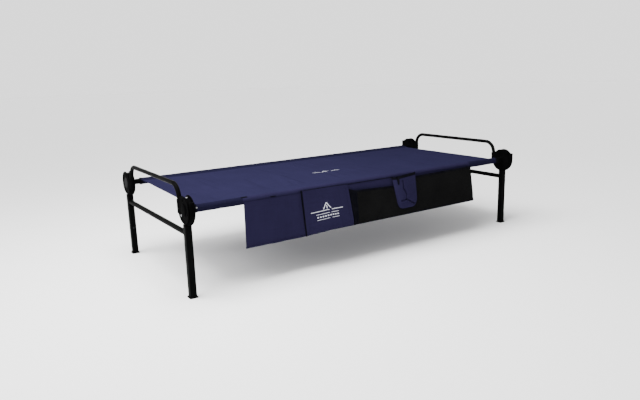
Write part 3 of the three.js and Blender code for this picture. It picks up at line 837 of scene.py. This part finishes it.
def stitches(name, points, normals):
    """A row of lockstitches along a line, each a small spindle lying on the cloth."""
    pitch, length, width = 0.006, 0.0040, 0.0005
    verts, faces = [], []
    travelled, due = 0.0, pitch
    for i in range(1, len(points)):
        a, b = points[i - 1], points[i]
        step = (b - a).length
        if step < 1e-9:
            continue
        along = (b - a) / step
        while due <= travelled + step:
            t = (due - travelled) / step
            mid = a.lerp(b, t)
            up = normals[i - 1].lerp(normals[i], t).normalized()
            side = along.cross(up).normalized() * width
            start = len(verts)
            top, half = up * width * 1.2, along * (length / 2)
            verts += [mid - half, mid + side, mid + top, mid - side, mid - top * 0.4, mid + half]
            for k in range(4):
                p, q = start + 1 + k, start + 1 + (k + 1) % 4
                faces += [(start, p, q), (start + 5, q, p)]
            due += pitch
        travelled += step
    return add_object(name, verts, faces, 80)


def line_on(point, places, lift=0.0004):
    """Points and normals on a cloth's surface, at each of the places (u, v)."""
    delta = 0.0008
    points, normals = [], []
    for u, v in places:
        here = point(u, v)
        du = point(u + delta, v) - here
        dv = point(u, v + delta) - here
        normal = du.cross(dv).normalized()
        points.append(here + normal * lift)
        normals.append(normal)
    return points, normals


# ---- deck ----------------------------------------------------------------------------------

rng = random.Random(11)


def make_wrinkles():
    """Soft ridges across the bed, as (x, start, end, drift, height, width), start and end along Y."""
    wrinkles = []
    for _ in range(46):
        x = rng.uniform(-0.92, 0.92)
        reach = rng.uniform(0.10, 0.26)
        side = rng.choice((-1, 1))
        start = side * rng.uniform(0.20, 0.40)
        drift = rng.uniform(-0.16, 0.16)
        width = rng.uniform(0.006, 0.015)
        height = rng.uniform(0.0010, 0.0026) * rng.choice((-1, 1))
        wrinkles.append((x, start, start - side * reach, drift, height, width))
    plain_to_see = (
        (-0.730, 0.31, -0.09, 0.04, 0.005), (-0.684, 0.27, 0.00, 0.03, 0.004),
        (-0.332, 0.04, -0.27, 0.10, 0.006), (-0.370, -0.05, -0.26, 0.31, 0.005),
        (-0.500, 0.00, -0.25, 0.08, -0.005), (-0.875, -0.10, -0.30, -0.05, 0.004),
        (0.100, -0.02, -0.24, -0.08, 0.003), (0.520, 0.25, -0.05, 0.06, 0.003))
    return wrinkles + [(*wrinkle, 0.014) for wrinkle in plain_to_see]


WRINKLES = make_wrinkles()


def deck_ripple(x, y):
    """How far the stretched sheet stands above its plane, in wrinkles and in fans at the corners."""
    total = 0.0008 * noise.noise(Vector((x * 3.1, y * 4.3, 2.0)))
    fade_out, fade_in = 0.06, 0.05
    for wrinkle_x, start, end, drift, height, width in WRINKLES:
        low, high = min(start, end), max(start, end)
        off = (x - wrinkle_x - drift * (y - (low + high) / 2)) / width
        if y < low - fade_out or y > high + fade_out or abs(off) > 4:
            continue
        begun = smooth(y, low - fade_out, low + fade_in)
        ended = smooth(y, high - fade_in, high + fade_out)
        total += height * begun * (1 - ended) * math.exp(-0.5 * off * off)
    for corner in CORNERS:
        dx, dy = x - corner.sx * DECK_HALF, y - corner.sy * RAIL_Y
        away = math.hypot(dx, dy)
        if away < 0.42:
            turn = math.atan2(abs(dx), abs(dy))
            fan = math.sin(turn * 17 + 3 * noise.noise(Vector((corner.sx * 3, corner.sy * 5, turn * 2))))
            total += 0.0013 * fan * math.exp(-away / 0.14) * smooth(away, 0.015, 0.07)
    return total


def deck_section():
    """(y, z, how free the cloth is) from the near sleeve's seam to the far one's."""
    half = []
    for turn in spread(SLEEVE_START, SLEEVE_END, SLEEVE_STEPS + 1):
        half.append((-RAIL_Y + SLEEVE_R * math.cos(turn), RAIL_Z + SLEEVE_R * math.sin(turn), 0.0))
    top_y, top_z, _ = half[-1]
    for t in spread(0, 1, 13)[1:]:
        y = top_y + (-DECK_FLAT_Y - top_y) * t
        seam_dip = 0.0011 * math.exp(-(((t - 0.34) / 0.09) ** 2))
        z = top_z + (DECK_TOP_Z - top_z) * (t * 1.25 - 0.25 * t * t * t) - seam_dip
        half.append((y, z, t * 0.8))
    for t in spread(0, 1, 31)[1:]:
        half.append((-DECK_FLAT_Y * (1 - t), DECK_TOP_Z, 0.8 + 0.2 * smooth(t, 0, 0.2)))
    return half + [(-y, z, free) for y, z, free in reversed(half[:-1])]


def section_lengths():
    """The distance round the section at each of its points."""
    lengths = [0.0]
    for (y0, z0, _), (y1, z1, _) in zip(SECTION, SECTION[1:]):
        lengths.append(lengths[-1] + math.hypot(y1 - y0, z1 - z0))
    return lengths


SECTION = deck_section()
LENGTHS = section_lengths()
DECK_GIRTH = LENGTHS[-1]
SLEEVE_LENGTH = LENGTHS[SLEEVE_STEPS]
SEAM_V = SLEEVE_LENGTH + 0.028


def deck_end_shift(x, y):
    """The left end is askew, with its corners drawn out; the right end's near corner falls short."""
    near = smooth(-y, 0.25, RAIL_Y + 0.01)
    if x > 0:
        return -0.009 * smooth(x, 0.70, DECK_HALF) * near
    pull = smooth(-x, 0.70, DECK_HALF)
    return pull * (0.036 * y - 0.013 * near - 0.015 * smooth(y, 0.34, RAIL_Y))


def from_rail(here):
    """The direction from the nearer rail's axis to a place, across the rail."""
    return Vector((0, here.y - math.copysign(RAIL_Y, here.y), here.z - RAIL_Z)).normalized()


def deck_point(x, v):
    """The deck at x, at the distance v round its section."""
    v = min(max(v, 0.0), DECK_GIRTH)
    index = 1
    while index < len(LENGTHS) - 1 and LENGTHS[index] < v:
        index += 1
    t = (v - LENGTHS[index - 1]) / (LENGTHS[index] - LENGTHS[index - 1])
    y, z, free = (a + (b - a) * t for a, b in zip(SECTION[index - 1], SECTION[index]))
    place = Vector((x + deck_end_shift(x, y), y, z + free * deck_ripple(x, y)))
    round_rail = 1 - smooth(free, 0.0, 0.1)
    if round_rail > 0:
        pucker = 0.0007 * noise.noise(Vector((x * 26, y * 60, z * 60))) * round_rail
        place += from_rail(Vector((x, y, z))) * (pucker + 0.0003)
    return place


def make_deck():
    xs = spread(-DECK_HALF, DECK_HALF, 260)
    return cloth_grid("deck_cloth", xs, LENGTHS, deck_point, (0, 0, 1))


deck = finish_piece(make_deck(), "deck", "deck_navy", DECK, "deck_fabric")

deck_details = []
rows = (SEAM_V, SEAM_V + 0.006, DECK_GIRTH - SEAM_V, DECK_GIRTH - SEAM_V - 0.006)
for row, v in enumerate(rows):
    along = spread(-DECK_HALF + 0.004, DECK_HALF - 0.004, 240)
    deck_details.append(stitches(f"deck_seam_{row + 1}", *line_on(deck_point, [(x, v) for x in along])))
for end, x in (("left", -DECK_HALF + 0.014), ("right", DECK_HALF - 0.014)):
    across = spread(SLEEVE_LENGTH * 0.3, DECK_GIRTH - SLEEVE_LENGTH * 0.3, 150)
    deck_details.append(stitches(f"deck_hem_{end}", *line_on(deck_point, [(x, v) for v in across])))
for piece in deck_details:
    finish_piece(piece, "deck", "deck_navy", NAVY_THREAD)


def make_end_tape(corner):
    """Black tape folded over the mouth of a sleeve."""
    def point(u, v):
        at = DECK_GIRTH - v if corner.sy > 0 else v
        here = deck_point(corner.sx * (DECK_HALF + 0.0006 - END_TAPE * u), at)
        return here + from_rail(here) * 0.0007

    def uv(u, v):
        return (v, u * END_TAPE)
    vs = spread(0.0, SLEEVE_LENGTH + 0.012, 60)
    return cloth_grid(f"sleeve_tape_{corner.name}", spread(0, 1, 6), vs, point, (0, 0, 1), TAPE_THICK, uv)


for corner in CORNERS:
    finish_piece(make_end_tape(corner), "deck", "mesh_black", TAPE)

# ---- organizer -----------------------------------------------------------------------------


def between(pair, t):
    return pair[0] + (pair[1] - pair[0]) * t


def flare_at(x):
    return min(max((x - FLARE_X0) / (FLARE_X1 - FLARE_X0), 0.0), 1.0)


def flap_length_at(x):
    return between((FLAP_LENGTH, FLARED_LENGTH), flare_at(x))


def flap_place(x, down, proud):
    """A place on the organizer: x along it, down from its top edge, proud of its back."""
    lean = FLARE_ANGLE * flare_at(x)
    c, s = math.cos(lean), math.sin(lean)
    return Vector((x, FLAP_BACK_Y - down * s - proud * c, FLAP_TOP_Z - down * c + proud * s))


def flap_wave(x, down):
    """The hanging cloth's own slackness, least at the top seam."""
    loose = smooth(down, 0.0, 0.20)
    plain = 1 - smooth(x, -0.50, -0.44)
    wave = 0.0022 * plain * math.sin(x * 31 + 0.8) * loose
    wave += 0.0016 * noise.noise(Vector((x * 9, down * 7, 4.0))) * (0.3 + 0.7 * loose)
    return wave * (0.35 + 0.65 * plain)


def flap_point(x, down):
    share = down / FLAP_LENGTH
    return flap_place(x, share * flap_length_at(x), 0.0026 + flap_wave(x, down))


def make_flap():
    xs, downs = spread(FLAP_X0, FLAP_X1, 200), spread(0.0, FLAP_LENGTH, 36)
    return cloth_grid("organizer_back", xs, downs, flap_point, (0, -1, 0))


HEADER_R = 0.0177
HEADER_START = math.pi * 0.45
HEADER_ARC = HEADER_R * (math.pi - HEADER_START)
HEADER_DROP = 0.014


def header_point(x, v):
    """Over the sleeve from inboard, then down behind the flap's top."""
    r = HEADER_R + 0.0004 * noise.noise(Vector((x * 30, v * 60, 9.0)))
    if v < HEADER_ARC:
        turn = HEADER_START + v / HEADER_R
        return Vector((x, -RAIL_Y + r * math.cos(turn), RAIL_Z + r * math.sin(turn)))
    drop = v - HEADER_ARC
    return Vector((x, -RAIL_Y - r - 0.0010 * smooth(drop, 0, HEADER_DROP), RAIL_Z - drop))


def make_header():
    xs, vs = spread(FLAP_X0, FLAP_X1, 200), spread(0.0, HEADER_ARC + HEADER_DROP, 22)
    return cloth_grid("organizer_top", xs, vs, header_point, (0, 0, 1), 0.0009)


HANG_BLEND = ((0, FLAP_BACK_Y, FLAP_TOP_Z + 0.006), (0, FLAP_BACK_Y, FLAP_TOP_Z - 0.004))
HEADER_BLEND = ((0, -0.4290, 0.3890), (0, -0.4292, 0.3800))


def hang_piece(obj, slot, material, *nodes, blend=HANG_BLEND):
    """Like finish_piece, for the organizer, but with its transform baked into the mesh and attached to no
    body.
    """
    obj.data.materials.append(material)
    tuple(blend[0])
    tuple(blend[1])
    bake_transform(obj)
    if nodes:
        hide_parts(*nodes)


NAVY_CLOTH = ("organizer_navy", ORGANIZER)
BLACK_MESH = ("mesh_black", MESH)
BLACK_TAPE = ("mesh_black", TAPE)

flap = finish_piece(make_flap(), "organizer", *NAVY_CLOTH, "organizer_flap")
hang_piece(make_header(), *NAVY_CLOTH, "organizer_header", blend=HEADER_BLEND)

# ---- pockets -------------------------------------------------------------------------------


class Pocket:
    """A pocket on the organizer, as a sheet over (s, t), across it and down it, each from 0 to 1.

    left, right and top are given at both of their ends; without a bottom it reaches the flap's
    lower edge. edges are how far the cloth takes to rise from back to front at its left, its
    right and its floor. bulge(s, t) is added to front.
    """

    def __init__(self, left, right, top, front, edges, bulge, bottom=None, back=0.0026, corner=0.0):
        self.left, self.right, self.top, self.bottom = left, right, top, bottom
        self.back, self.front, self.edges, self.corner = back, front, edges, corner
        self.bulge = bulge
        self.width = right[0] - left[0]
        self.height = (bottom or FLARED_LENGTH) - top[0]

    def point(self, s, t):
        low_x, high_x = between(self.left, t), between(self.right, t)
        x = between((low_x, high_x), s)
        near, far = x - low_x, high_x - x
        top = between(self.top, s)
        low = self.bottom if self.bottom else flap_length_at(x) - 0.001
        if self.corner:
            inset = max(0.0, self.corner - min(near, far))
            low -= self.corner - math.sqrt(max(self.corner ** 2 - inset ** 2, 0.0))
        down = top + (low - top) * t
        rise = 1.0
        for away, edge, power in zip((near, far, low - down), self.edges, (3, 3, 2.4)):
            if edge:
                rise *= 1 - (1 - min(away / edge, 1.0)) ** power
        depth = self.back + (self.front - self.back + self.bulge(s, t)) * rise
        return flap_place(x, down, depth)

    def across(self, fine):
        """Closer together at the sides, where the cloth turns towards the back."""
        near, far = (edge / self.width for edge in self.edges[:2])
        steps = 9
        left = [near * (i / steps) ** 2 for i in range(steps)] if near else []
        right = [1 - far * (i / steps) ** 2 for i in range(steps)] if far else []
        return left + spread(near, 1 - far, max(int(self.width / fine), 6)) + right[::-1]

    def cloth(self, name, fine=0.008):
        rows = [1 - (1 - t) ** 1.6 for t in spread(0.0, 1.0, max(40, int(self.height / fine)))]
        return cloth_grid(
            name, self.across(fine), rows, self.point, (0, -1, 0),
            uv=lambda s, t: (self.left[0] + s * self.width, t * self.height))

    def tape(self, name, width=TAPE_WIDTH):
        """Binding tape along the outside of the pocket's mouth."""
        gap = 0.0008 * math.cos(FLARE_ANGLE)
        steps = [-0.0006, 0.0, width * 0.4, width * 0.7, width]
        return cloth_grid(
            name, self.across(0.008), steps, lambda s, v: self.point(s, v / self.height) + proud(gap),
            (0, -1, 0), TAPE_THICK, uv=lambda s, v: (s * self.width, v))


def proud(gap, up=0.0):
    """A small step towards the viewer of the organizer, and up."""
    return Vector((0, -gap, up))


def groove(s, t, path, width):
    """How near (s, t) lies to a path, as 1 on it falling to 0 away from it."""
    nearest = 9.0
    for (s0, t0), (s1, t1) in zip(path, path[1:]):
        along_s, along_t = s1 - s0, t1 - t0
        k = ((s - s0) * along_s + (t - t0) * along_t) / (along_s ** 2 + along_t ** 2)
        k = min(max(k, 0.0), 1.0)
        nearest = min(nearest, math.hypot(s - s0 - along_s * k, t - t0 - along_t * k))
    return math.exp(-(nearest / width) ** 2)


def print_bulge(s, t):
    """Slack at the mouth, and a fold along the right side."""
    fold = groove(s, t, ((0.93, -0.1), (0.95, 1.0)), 0.012)
    slack = 0.0012 * math.sin(s * 9) * (1 - t) - 0.0016 * smooth(s, 0.3, 1.0) * (1 - t) ** 2
    return slack - 0.0030 * fold


def bottle_bulge(s, t):
    """A slit beside the folded gusset, and two creases that meet low in the pocket."""
    slit = groove(s, t, ((0.17, -0.10), (0.15, 0.25)), 0.030)
    meeting = (0.41, 0.72)
    above = ((0.36, 0.16), (0.34, 0.39), (0.43, 0.58), meeting)
    crease = groove(s, t, (*above, (0.64, 0.83), (0.86, 0.91)), 0.018)
    branch = groove(s, t, (meeting, (0.17, 0.76)), 0.020)
    full = 0.004 * math.sin(math.pi * s) * math.sin(math.pi * min(t * 1.1, 1))
    return full - 0.003 * slit - 0.0120 * crease - 0.0070 * branch


print_pocket = Pocket(
    left=(-0.447, -0.427), right=(-0.176, -0.161), top=(-0.014, -0.009),
    front=0.0150, edges=(0.002, 0.008, 0.040), bulge=print_bulge)
mesh_left = Pocket(
    left=(-0.133, -0.141), right=(0.2065, 0.2065), top=(0.028, 0.041),
    front=0.0145, edges=(0, 0, 0.040), bulge=lambda s, t: 0.0012 * math.sin(s * 14 + 1) * (1 - t))
mesh_side = Pocket(
    left=(-0.173, -0.160), right=(-0.131, -0.139), top=(0.018, 0.029),
    front=0.0140, edges=(0.006, 0, 0.040),
    bulge=lambda s, t: -0.0040 * math.sin(math.pi * s) * (1 - 0.7 * t))
mesh_right = Pocket(
    left=(0.2065, 0.2065), right=(0.693, 0.693), top=(0.006, 0.000),
    front=0.0145, edges=(0, 0.016, 0.060), bulge=lambda s, t: 0.0014 * math.sin(s * 17) * (1 - t))
bottle_pocket = Pocket(
    left=(0.098, 0.119), right=(0.257, 0.252), top=(-0.005, -0.019), bottom=0.164,
    back=0.0152, front=0.0330, edges=(0.034, 0.018, 0.045), corner=0.036, bulge=bottle_bulge)


def facing_grid(name, us, vs, point, thickness=TAPE_THICK, towards=(0, -1, 0)):
    """A patch or strip of cloth on the organizer's outside."""
    return cloth_grid(name, us, vs, point, towards, thickness)


def make_slit_shade(end, half):
    """Painted shade: a black sheet in the slit beside the folded gusset, which narrows to a point."""
    def point(v, t):
        across = v * (1 - (t / end) ** 3) / bottle_pocket.width
        return bottle_pocket.point(0.17 - 0.06 * t + across, t) + proud(0.0014)
    return facing_grid("bottle_slit_shade", spread(-half, half, 6), spread(0.01, end, 24), point)


def make_wall(name, pocket):
    """A black gusset on a pocket's left side, from the organizer's back to its front; on the navy print
    pocket its black is painted shade.
    """
    low, deepest = pocket.back - 0.0012, 0.0158

    def point(u, t):
        x = between(pocket.left, t)
        down = between((pocket.top[0], flap_length_at(x)), t)
        gape = 1.25 - 0.45 * t
        depth = min(low + (pocket.front - low) * u * gape, deepest)
        return flap_place(x - 0.0016 * math.sin(math.pi * u), down, depth)
    return facing_grid(name, spread(0, 1, 8), spread(0, 1, 30), point, towards=(-1, 0, 0))


def make_edge(name, pocket, s):
    """Binding tape down a pocket's edge."""
    def point(v, t):
        return pocket.point(s, t) + Vector((v, -0.0010 - 0.0005 * math.cos(v * 500), 0))
    return facing_grid(name, spread(-0.003, 0.003, 6), spread(0, 1, 30), point)


def make_header_patch(name, x, v, width, height):
    """A small black patch on the header."""
    def point(across, down):
        return header_point(x + across, v + down) + proud(0.0008, 0.0008)
    return facing_grid(name, spread(-width / 2, width / 2, 10), spread(0, height, 4), point)


def band_point(x, v):
    lift = 0.0004 * math.sin(x * 40)
    return flap_place(x, -0.0075 + v, 0.0034 + lift + 0.0012 * (v / BAND_WIDTH))


def make_band():
    """The navy band along the top of the organizer, over the mesh pockets."""
    xs, vs = spread(-0.200, 0.250, 120), spread(0, BAND_WIDTH, 10)
    return facing_grid("organizer_band", xs, vs, band_point, 0.0010)


def make_piping(name, point, us, radius):
    """A thin black cord along an edge; along the band's top and inside the print pocket's mouth it is
    painted shade.
    """
    sides = 8
    turns = [2 * math.pi * i / sides for i in range(sides)]
    ring = [Vector((0, math.cos(turn), math.sin(turn))) * radius for turn in turns]
    return loft(name, [[point(u) + place for place in ring] for u in us], capped=True, sharp=60)


def band_edge(x):
    return band_point(x, 0) + proud(0.0006)


def print_mouth(s):
    return print_pocket.point(s, 0.0) + proud(-0.0006)


def bottle_outline(u):
    """Down the bottle pocket's left side, along its floor and up its right side."""
    s = min(max(u * 3 - 1, 0.0), 1.0)
    t = min(u * 3, 3 - u * 3, 1.0)
    return bottle_pocket.point(s, t) + proud(0.0008)


hang_piece(make_band(), *NAVY_CLOTH)
hang_piece(print_pocket.cloth("print_pocket"), *NAVY_CLOTH, "pocket_print")
hang_piece(mesh_left.cloth("mesh_pocket_left"), *BLACK_MESH, "pocket_mesh")
hang_piece(mesh_side.cloth("mesh_pocket_side", 0.003), *BLACK_TAPE)
hang_piece(mesh_side.tape("mesh_side_tape", 0.016), *BLACK_TAPE)
hang_piece(mesh_right.cloth("mesh_pocket_right"), *BLACK_MESH, "pocket_mesh")
hang_piece(bottle_pocket.cloth("bottle_pocket", 0.0022), *NAVY_CLOTH, "pocket_bottle")
for piece in (
        mesh_left.tape("mesh_tape_left"),
        mesh_right.tape("mesh_tape_right"),
        bottle_pocket.tape("bottle_tape", 0.013),
        # Painted shade in the bottle pocket's slit.
        make_slit_shade(0.27, 0.0065),
        make_piping("bottle_seam", bottle_outline, spread(0.0, 1.0, 120), 0.0011),
        # Painted shade: the print pocket's navy side wall drawn as black tape.
        make_wall("print_gusset_shade", print_pocket),
        make_wall("mesh_gusset", mesh_side),
        make_edge("mesh_edge", mesh_left, 0.0),
        # A black patch at the header's left end.
        make_header_patch("header_left_patch", FLAP_X0 + 0.010, 0.004, 0.030, 0.009),
        # Painted shade: a black patch where the header dimples.
        make_header_patch("header_dimple_shade", -0.592, HEADER_ARC - 0.004, 0.026, 0.004),
        # Painted shadow: a black cord for the shade under the sleeve along the band's top.
        make_piping("band_shadow_line", band_edge, spread(-0.176, 0.118, 50), 0.0014),
        # Painted shade: a black cord just inside the print pocket's mouth.
        make_piping("print_mouth_shade", print_mouth, spread(0.0, 1.0, 40), 0.0012)):
    hang_piece(piece, *BLACK_TAPE)


def make_hem(name, x0, x1):
    """Tape folded over the organizer's lower edge."""
    width = 0.010

    def point(x, v):
        depth = 0.0050 + flap_wave(x, FLAP_LENGTH) if v > 0 else -0.0004
        return flap_place(x, flap_length_at(x) + 0.0012 - abs(v), depth)
    return facing_grid(name, spread(x0, x1, 160), spread(-width, width, 5), point, towards=(0, 0, -1))


finish_piece(make_hem("hem_left", FLAP_X0, HEM_CHANGE_X), "organizer", *NAVY_CLOTH)
finish_piece(make_hem("hem_right", HEM_CHANGE_X, FLAP_X1), "organizer", *BLACK_TAPE)


def sew(name, point, places, material=NAVY_THREAD, lift=0.0004):
    hang_piece(stitches(name, *line_on(point, places, lift)), "organizer_navy", material)


for row, (pocket, inset, material) in enumerate((
        (print_pocket, 0.007, NAVY_THREAD), (mesh_left, 0.006, BLACK_THREAD),
        (mesh_right, 0.006, BLACK_THREAD), (bottle_pocket, 0.006, NAVY_THREAD))):
    places = [(s, inset / pocket.height) for s in spread(0.02, 0.98, 60)]
    sew(f"pocket_seam_{row + 1}", pocket.point, places, material, 0.0016)
for row, x in enumerate((FLAP_X0 + 0.006, FLARE_X0 - 0.006)):
    places = [(x, down) for down in spread(0.004, FLAP_LENGTH - 0.004, 40)]
    sew(f"panel_seam_{row + 1}", flap_point, places)
places = [(x, FLAP_LENGTH - 0.014) for x in spread(FLAP_X0 + 0.004, FLARE_X0, 60)]
sew("hem_seam", flap_point, places)

# ---- printed marks -------------------------------------------------------------------------


def print_mark(name, shapes, surface, body):
    """Flat printed shapes, as outlines in (u, v), laid on a surface and cut fine enough to bend."""
    work = bmesh.new()
    for outline in shapes:
        work.faces.new([work.verts.new((u, v, 0)) for u, v in outline])
    bmesh.ops.subdivide_edges(work, edges=work.edges[:], cuts=3, use_grid_fill=True)
    for vert in work.verts:
        vert.co = surface(vert.co.x, vert.co.y)
    mesh = bpy.data.meshes.new(name)
    work.to_mesh(mesh)
    work.free()
    return finish_piece(add_to_scene(name, mesh), body, "print_white", INK)


def bar(u0, u1, v0, v1):
    return [(u0, v0), (u1, v0), (u1, v1), (u0, v1)]


def middle_bar(half, v0, v1):
    return bar(-half, half, v0, v1)


def tent(v, width, height, thick):
    """An open ridge tent: two slanting bars and a pole."""
    half, foot = width / 2, thick * 1.25
    left = [(-half, v), (foot - half, v), (foot / 2, v + height), (-foot / 2, v + height)]
    right = [(-a, b) for a, b in left]
    return [left, right, middle_bar(thick / 2, v, v + height * 0.55)]


def on_deck(u, v):
    x, y = -0.048 + u, -0.058 + v
    return deck_point(x, SLEEVE_LENGTH + 0.047 + (y + DECK_FLAT_Y)) + Vector((0, 0, 0.0005))


def on_print_pocket(u, v):
    x, down = -0.3245 + u, 0.095 - v
    s = (x - print_pocket.left[0]) / print_pocket.width
    t = (down - print_pocket.top[0]) / print_pocket.height
    return print_pocket.point(s, t) + proud(0.0006, 0.0001)


deck_mark = tent(0.004, 0.044, 0.022, 0.003) + [middle_bar(0.089, -0.004, -0.001)]
deck_mark += [bar(u, u + 0.046, 0.009, 0.011) for u in (-0.082, 0.036)]
print_mark("deck_print", deck_mark, on_deck, "deck")

pocket_mark = tent(0.006, 0.046, 0.030, 0.004)
pocket_mark += [middle_bar(0.090, -0.002, 0.001), middle_bar(0.064, -0.016, -0.014)]
pocket_mark += [middle_bar(0.062, -0.042, -0.040)]
pocket_mark += [bar(u - 0.004, u + 0.004, -0.031, -0.025) for u in spread(-0.056, 0.056, 9)]
print_mark("pocket_print.mark", pocket_mark, on_print_pocket, "organizer")

# ---- floor, light and camera ---------------------------------------------------------------


def make_floor(radius, below):
    """A pale disc, just under the feet."""
    turns = spread(0, 2 * math.pi, 65)[:-1]
    mesh = bpy.data.meshes.new("floor")
    rim = [(radius * math.cos(turn), radius * math.sin(turn), -below) for turn in turns]
    mesh.from_pydata(rim, [], [tuple(range(len(rim)))])
    s = Shader("floor", specular_ior_level=0.1)
    tone = s.ramp(s.noise(s.coords(), 0.6, 2), 0.87, 0.88)
    mesh.materials.append(s.done(tone, s.ramp(s.noise(s.coords(), 3, 2), 0.9, 0.95)))
    add_to_scene("floor", mesh)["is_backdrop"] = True


def make_world(strength, above):
    """White from below to just above the horizon, and dimmer overhead."""
    world = bpy.data.worlds.new("studio")
    world.use_nodes = True
    tree = world.node_tree
    kinds = ("TexCoord", "SeparateXYZ", "ValToRGB")
    coords, split, ramp = (tree.nodes.new("ShaderNode" + kind) for kind in kinds)
    for stop, place, grey in zip(ramp.color_ramp.elements, (0.16, 0.45), (1, above)):
        stop.position = place
        stop.color = (grey, grey, grey, 1)
    background = tree.nodes["Background"]
    background.inputs["Strength"].default_value = strength
    tree.links.new(coords.outputs["Generated"], split.inputs[0])
    tree.links.new(split.outputs["Z"], ramp.inputs["Fac"])
    tree.links.new(ramp.outputs["Color"], background.inputs["Color"])
    bpy.context.scene.world = world


def make_light(name, kind, energy, **settings):
    data = bpy.data.lights.new(name, kind)
    data.energy = energy
    for key, value in settings.items():
        setattr(data, key, value)
    return add_to_scene(name, data)


def make_camera(place, yaw, pitch, roll, lens):
    """Looks along yaw, turned from +Y towards +X, and down by pitch."""
    ahead = Vector((math.sin(yaw) * math.cos(pitch), math.cos(yaw) * math.cos(pitch), -math.sin(pitch)))
    right = Vector((math.cos(yaw), -math.sin(yaw), 0))
    up = right.cross(ahead)
    turned_right = right * math.cos(roll) + up * math.sin(roll)
    turned_up = up * math.cos(roll) - right * math.sin(roll)
    data = bpy.data.cameras.new("camera")
    data.sensor_width = 36
    data.lens = lens
    camera = add_to_scene("camera", data)
    matrix = Matrix((turned_right, turned_up, -ahead)).transposed().to_4x4()
    matrix.translation = place
    camera.matrix_world = matrix
    bpy.context.scene.camera = camera


make_floor(30, 0.0005)
make_world(1.8, 0.39)
broad_sun = make_light("sky", "SUN", 4.8, angle=math.radians(55))
broad_sun.rotation_euler = (math.radians(36), 0, math.radians(-98))
softbox = make_light("softbox", "AREA", 140, shape="SQUARE", size=1.8)
softbox.location = (-1.15, -0.3, 2.3)
make_camera(Vector((-1.8676, -2.7389, 0.9511)), 0.585, 0.218, -0.029, 33.33)

visual_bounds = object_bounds()
sizes = [[list(corner) for corner in bounds] for bounds in (cad_bounds, visual_bounds)]
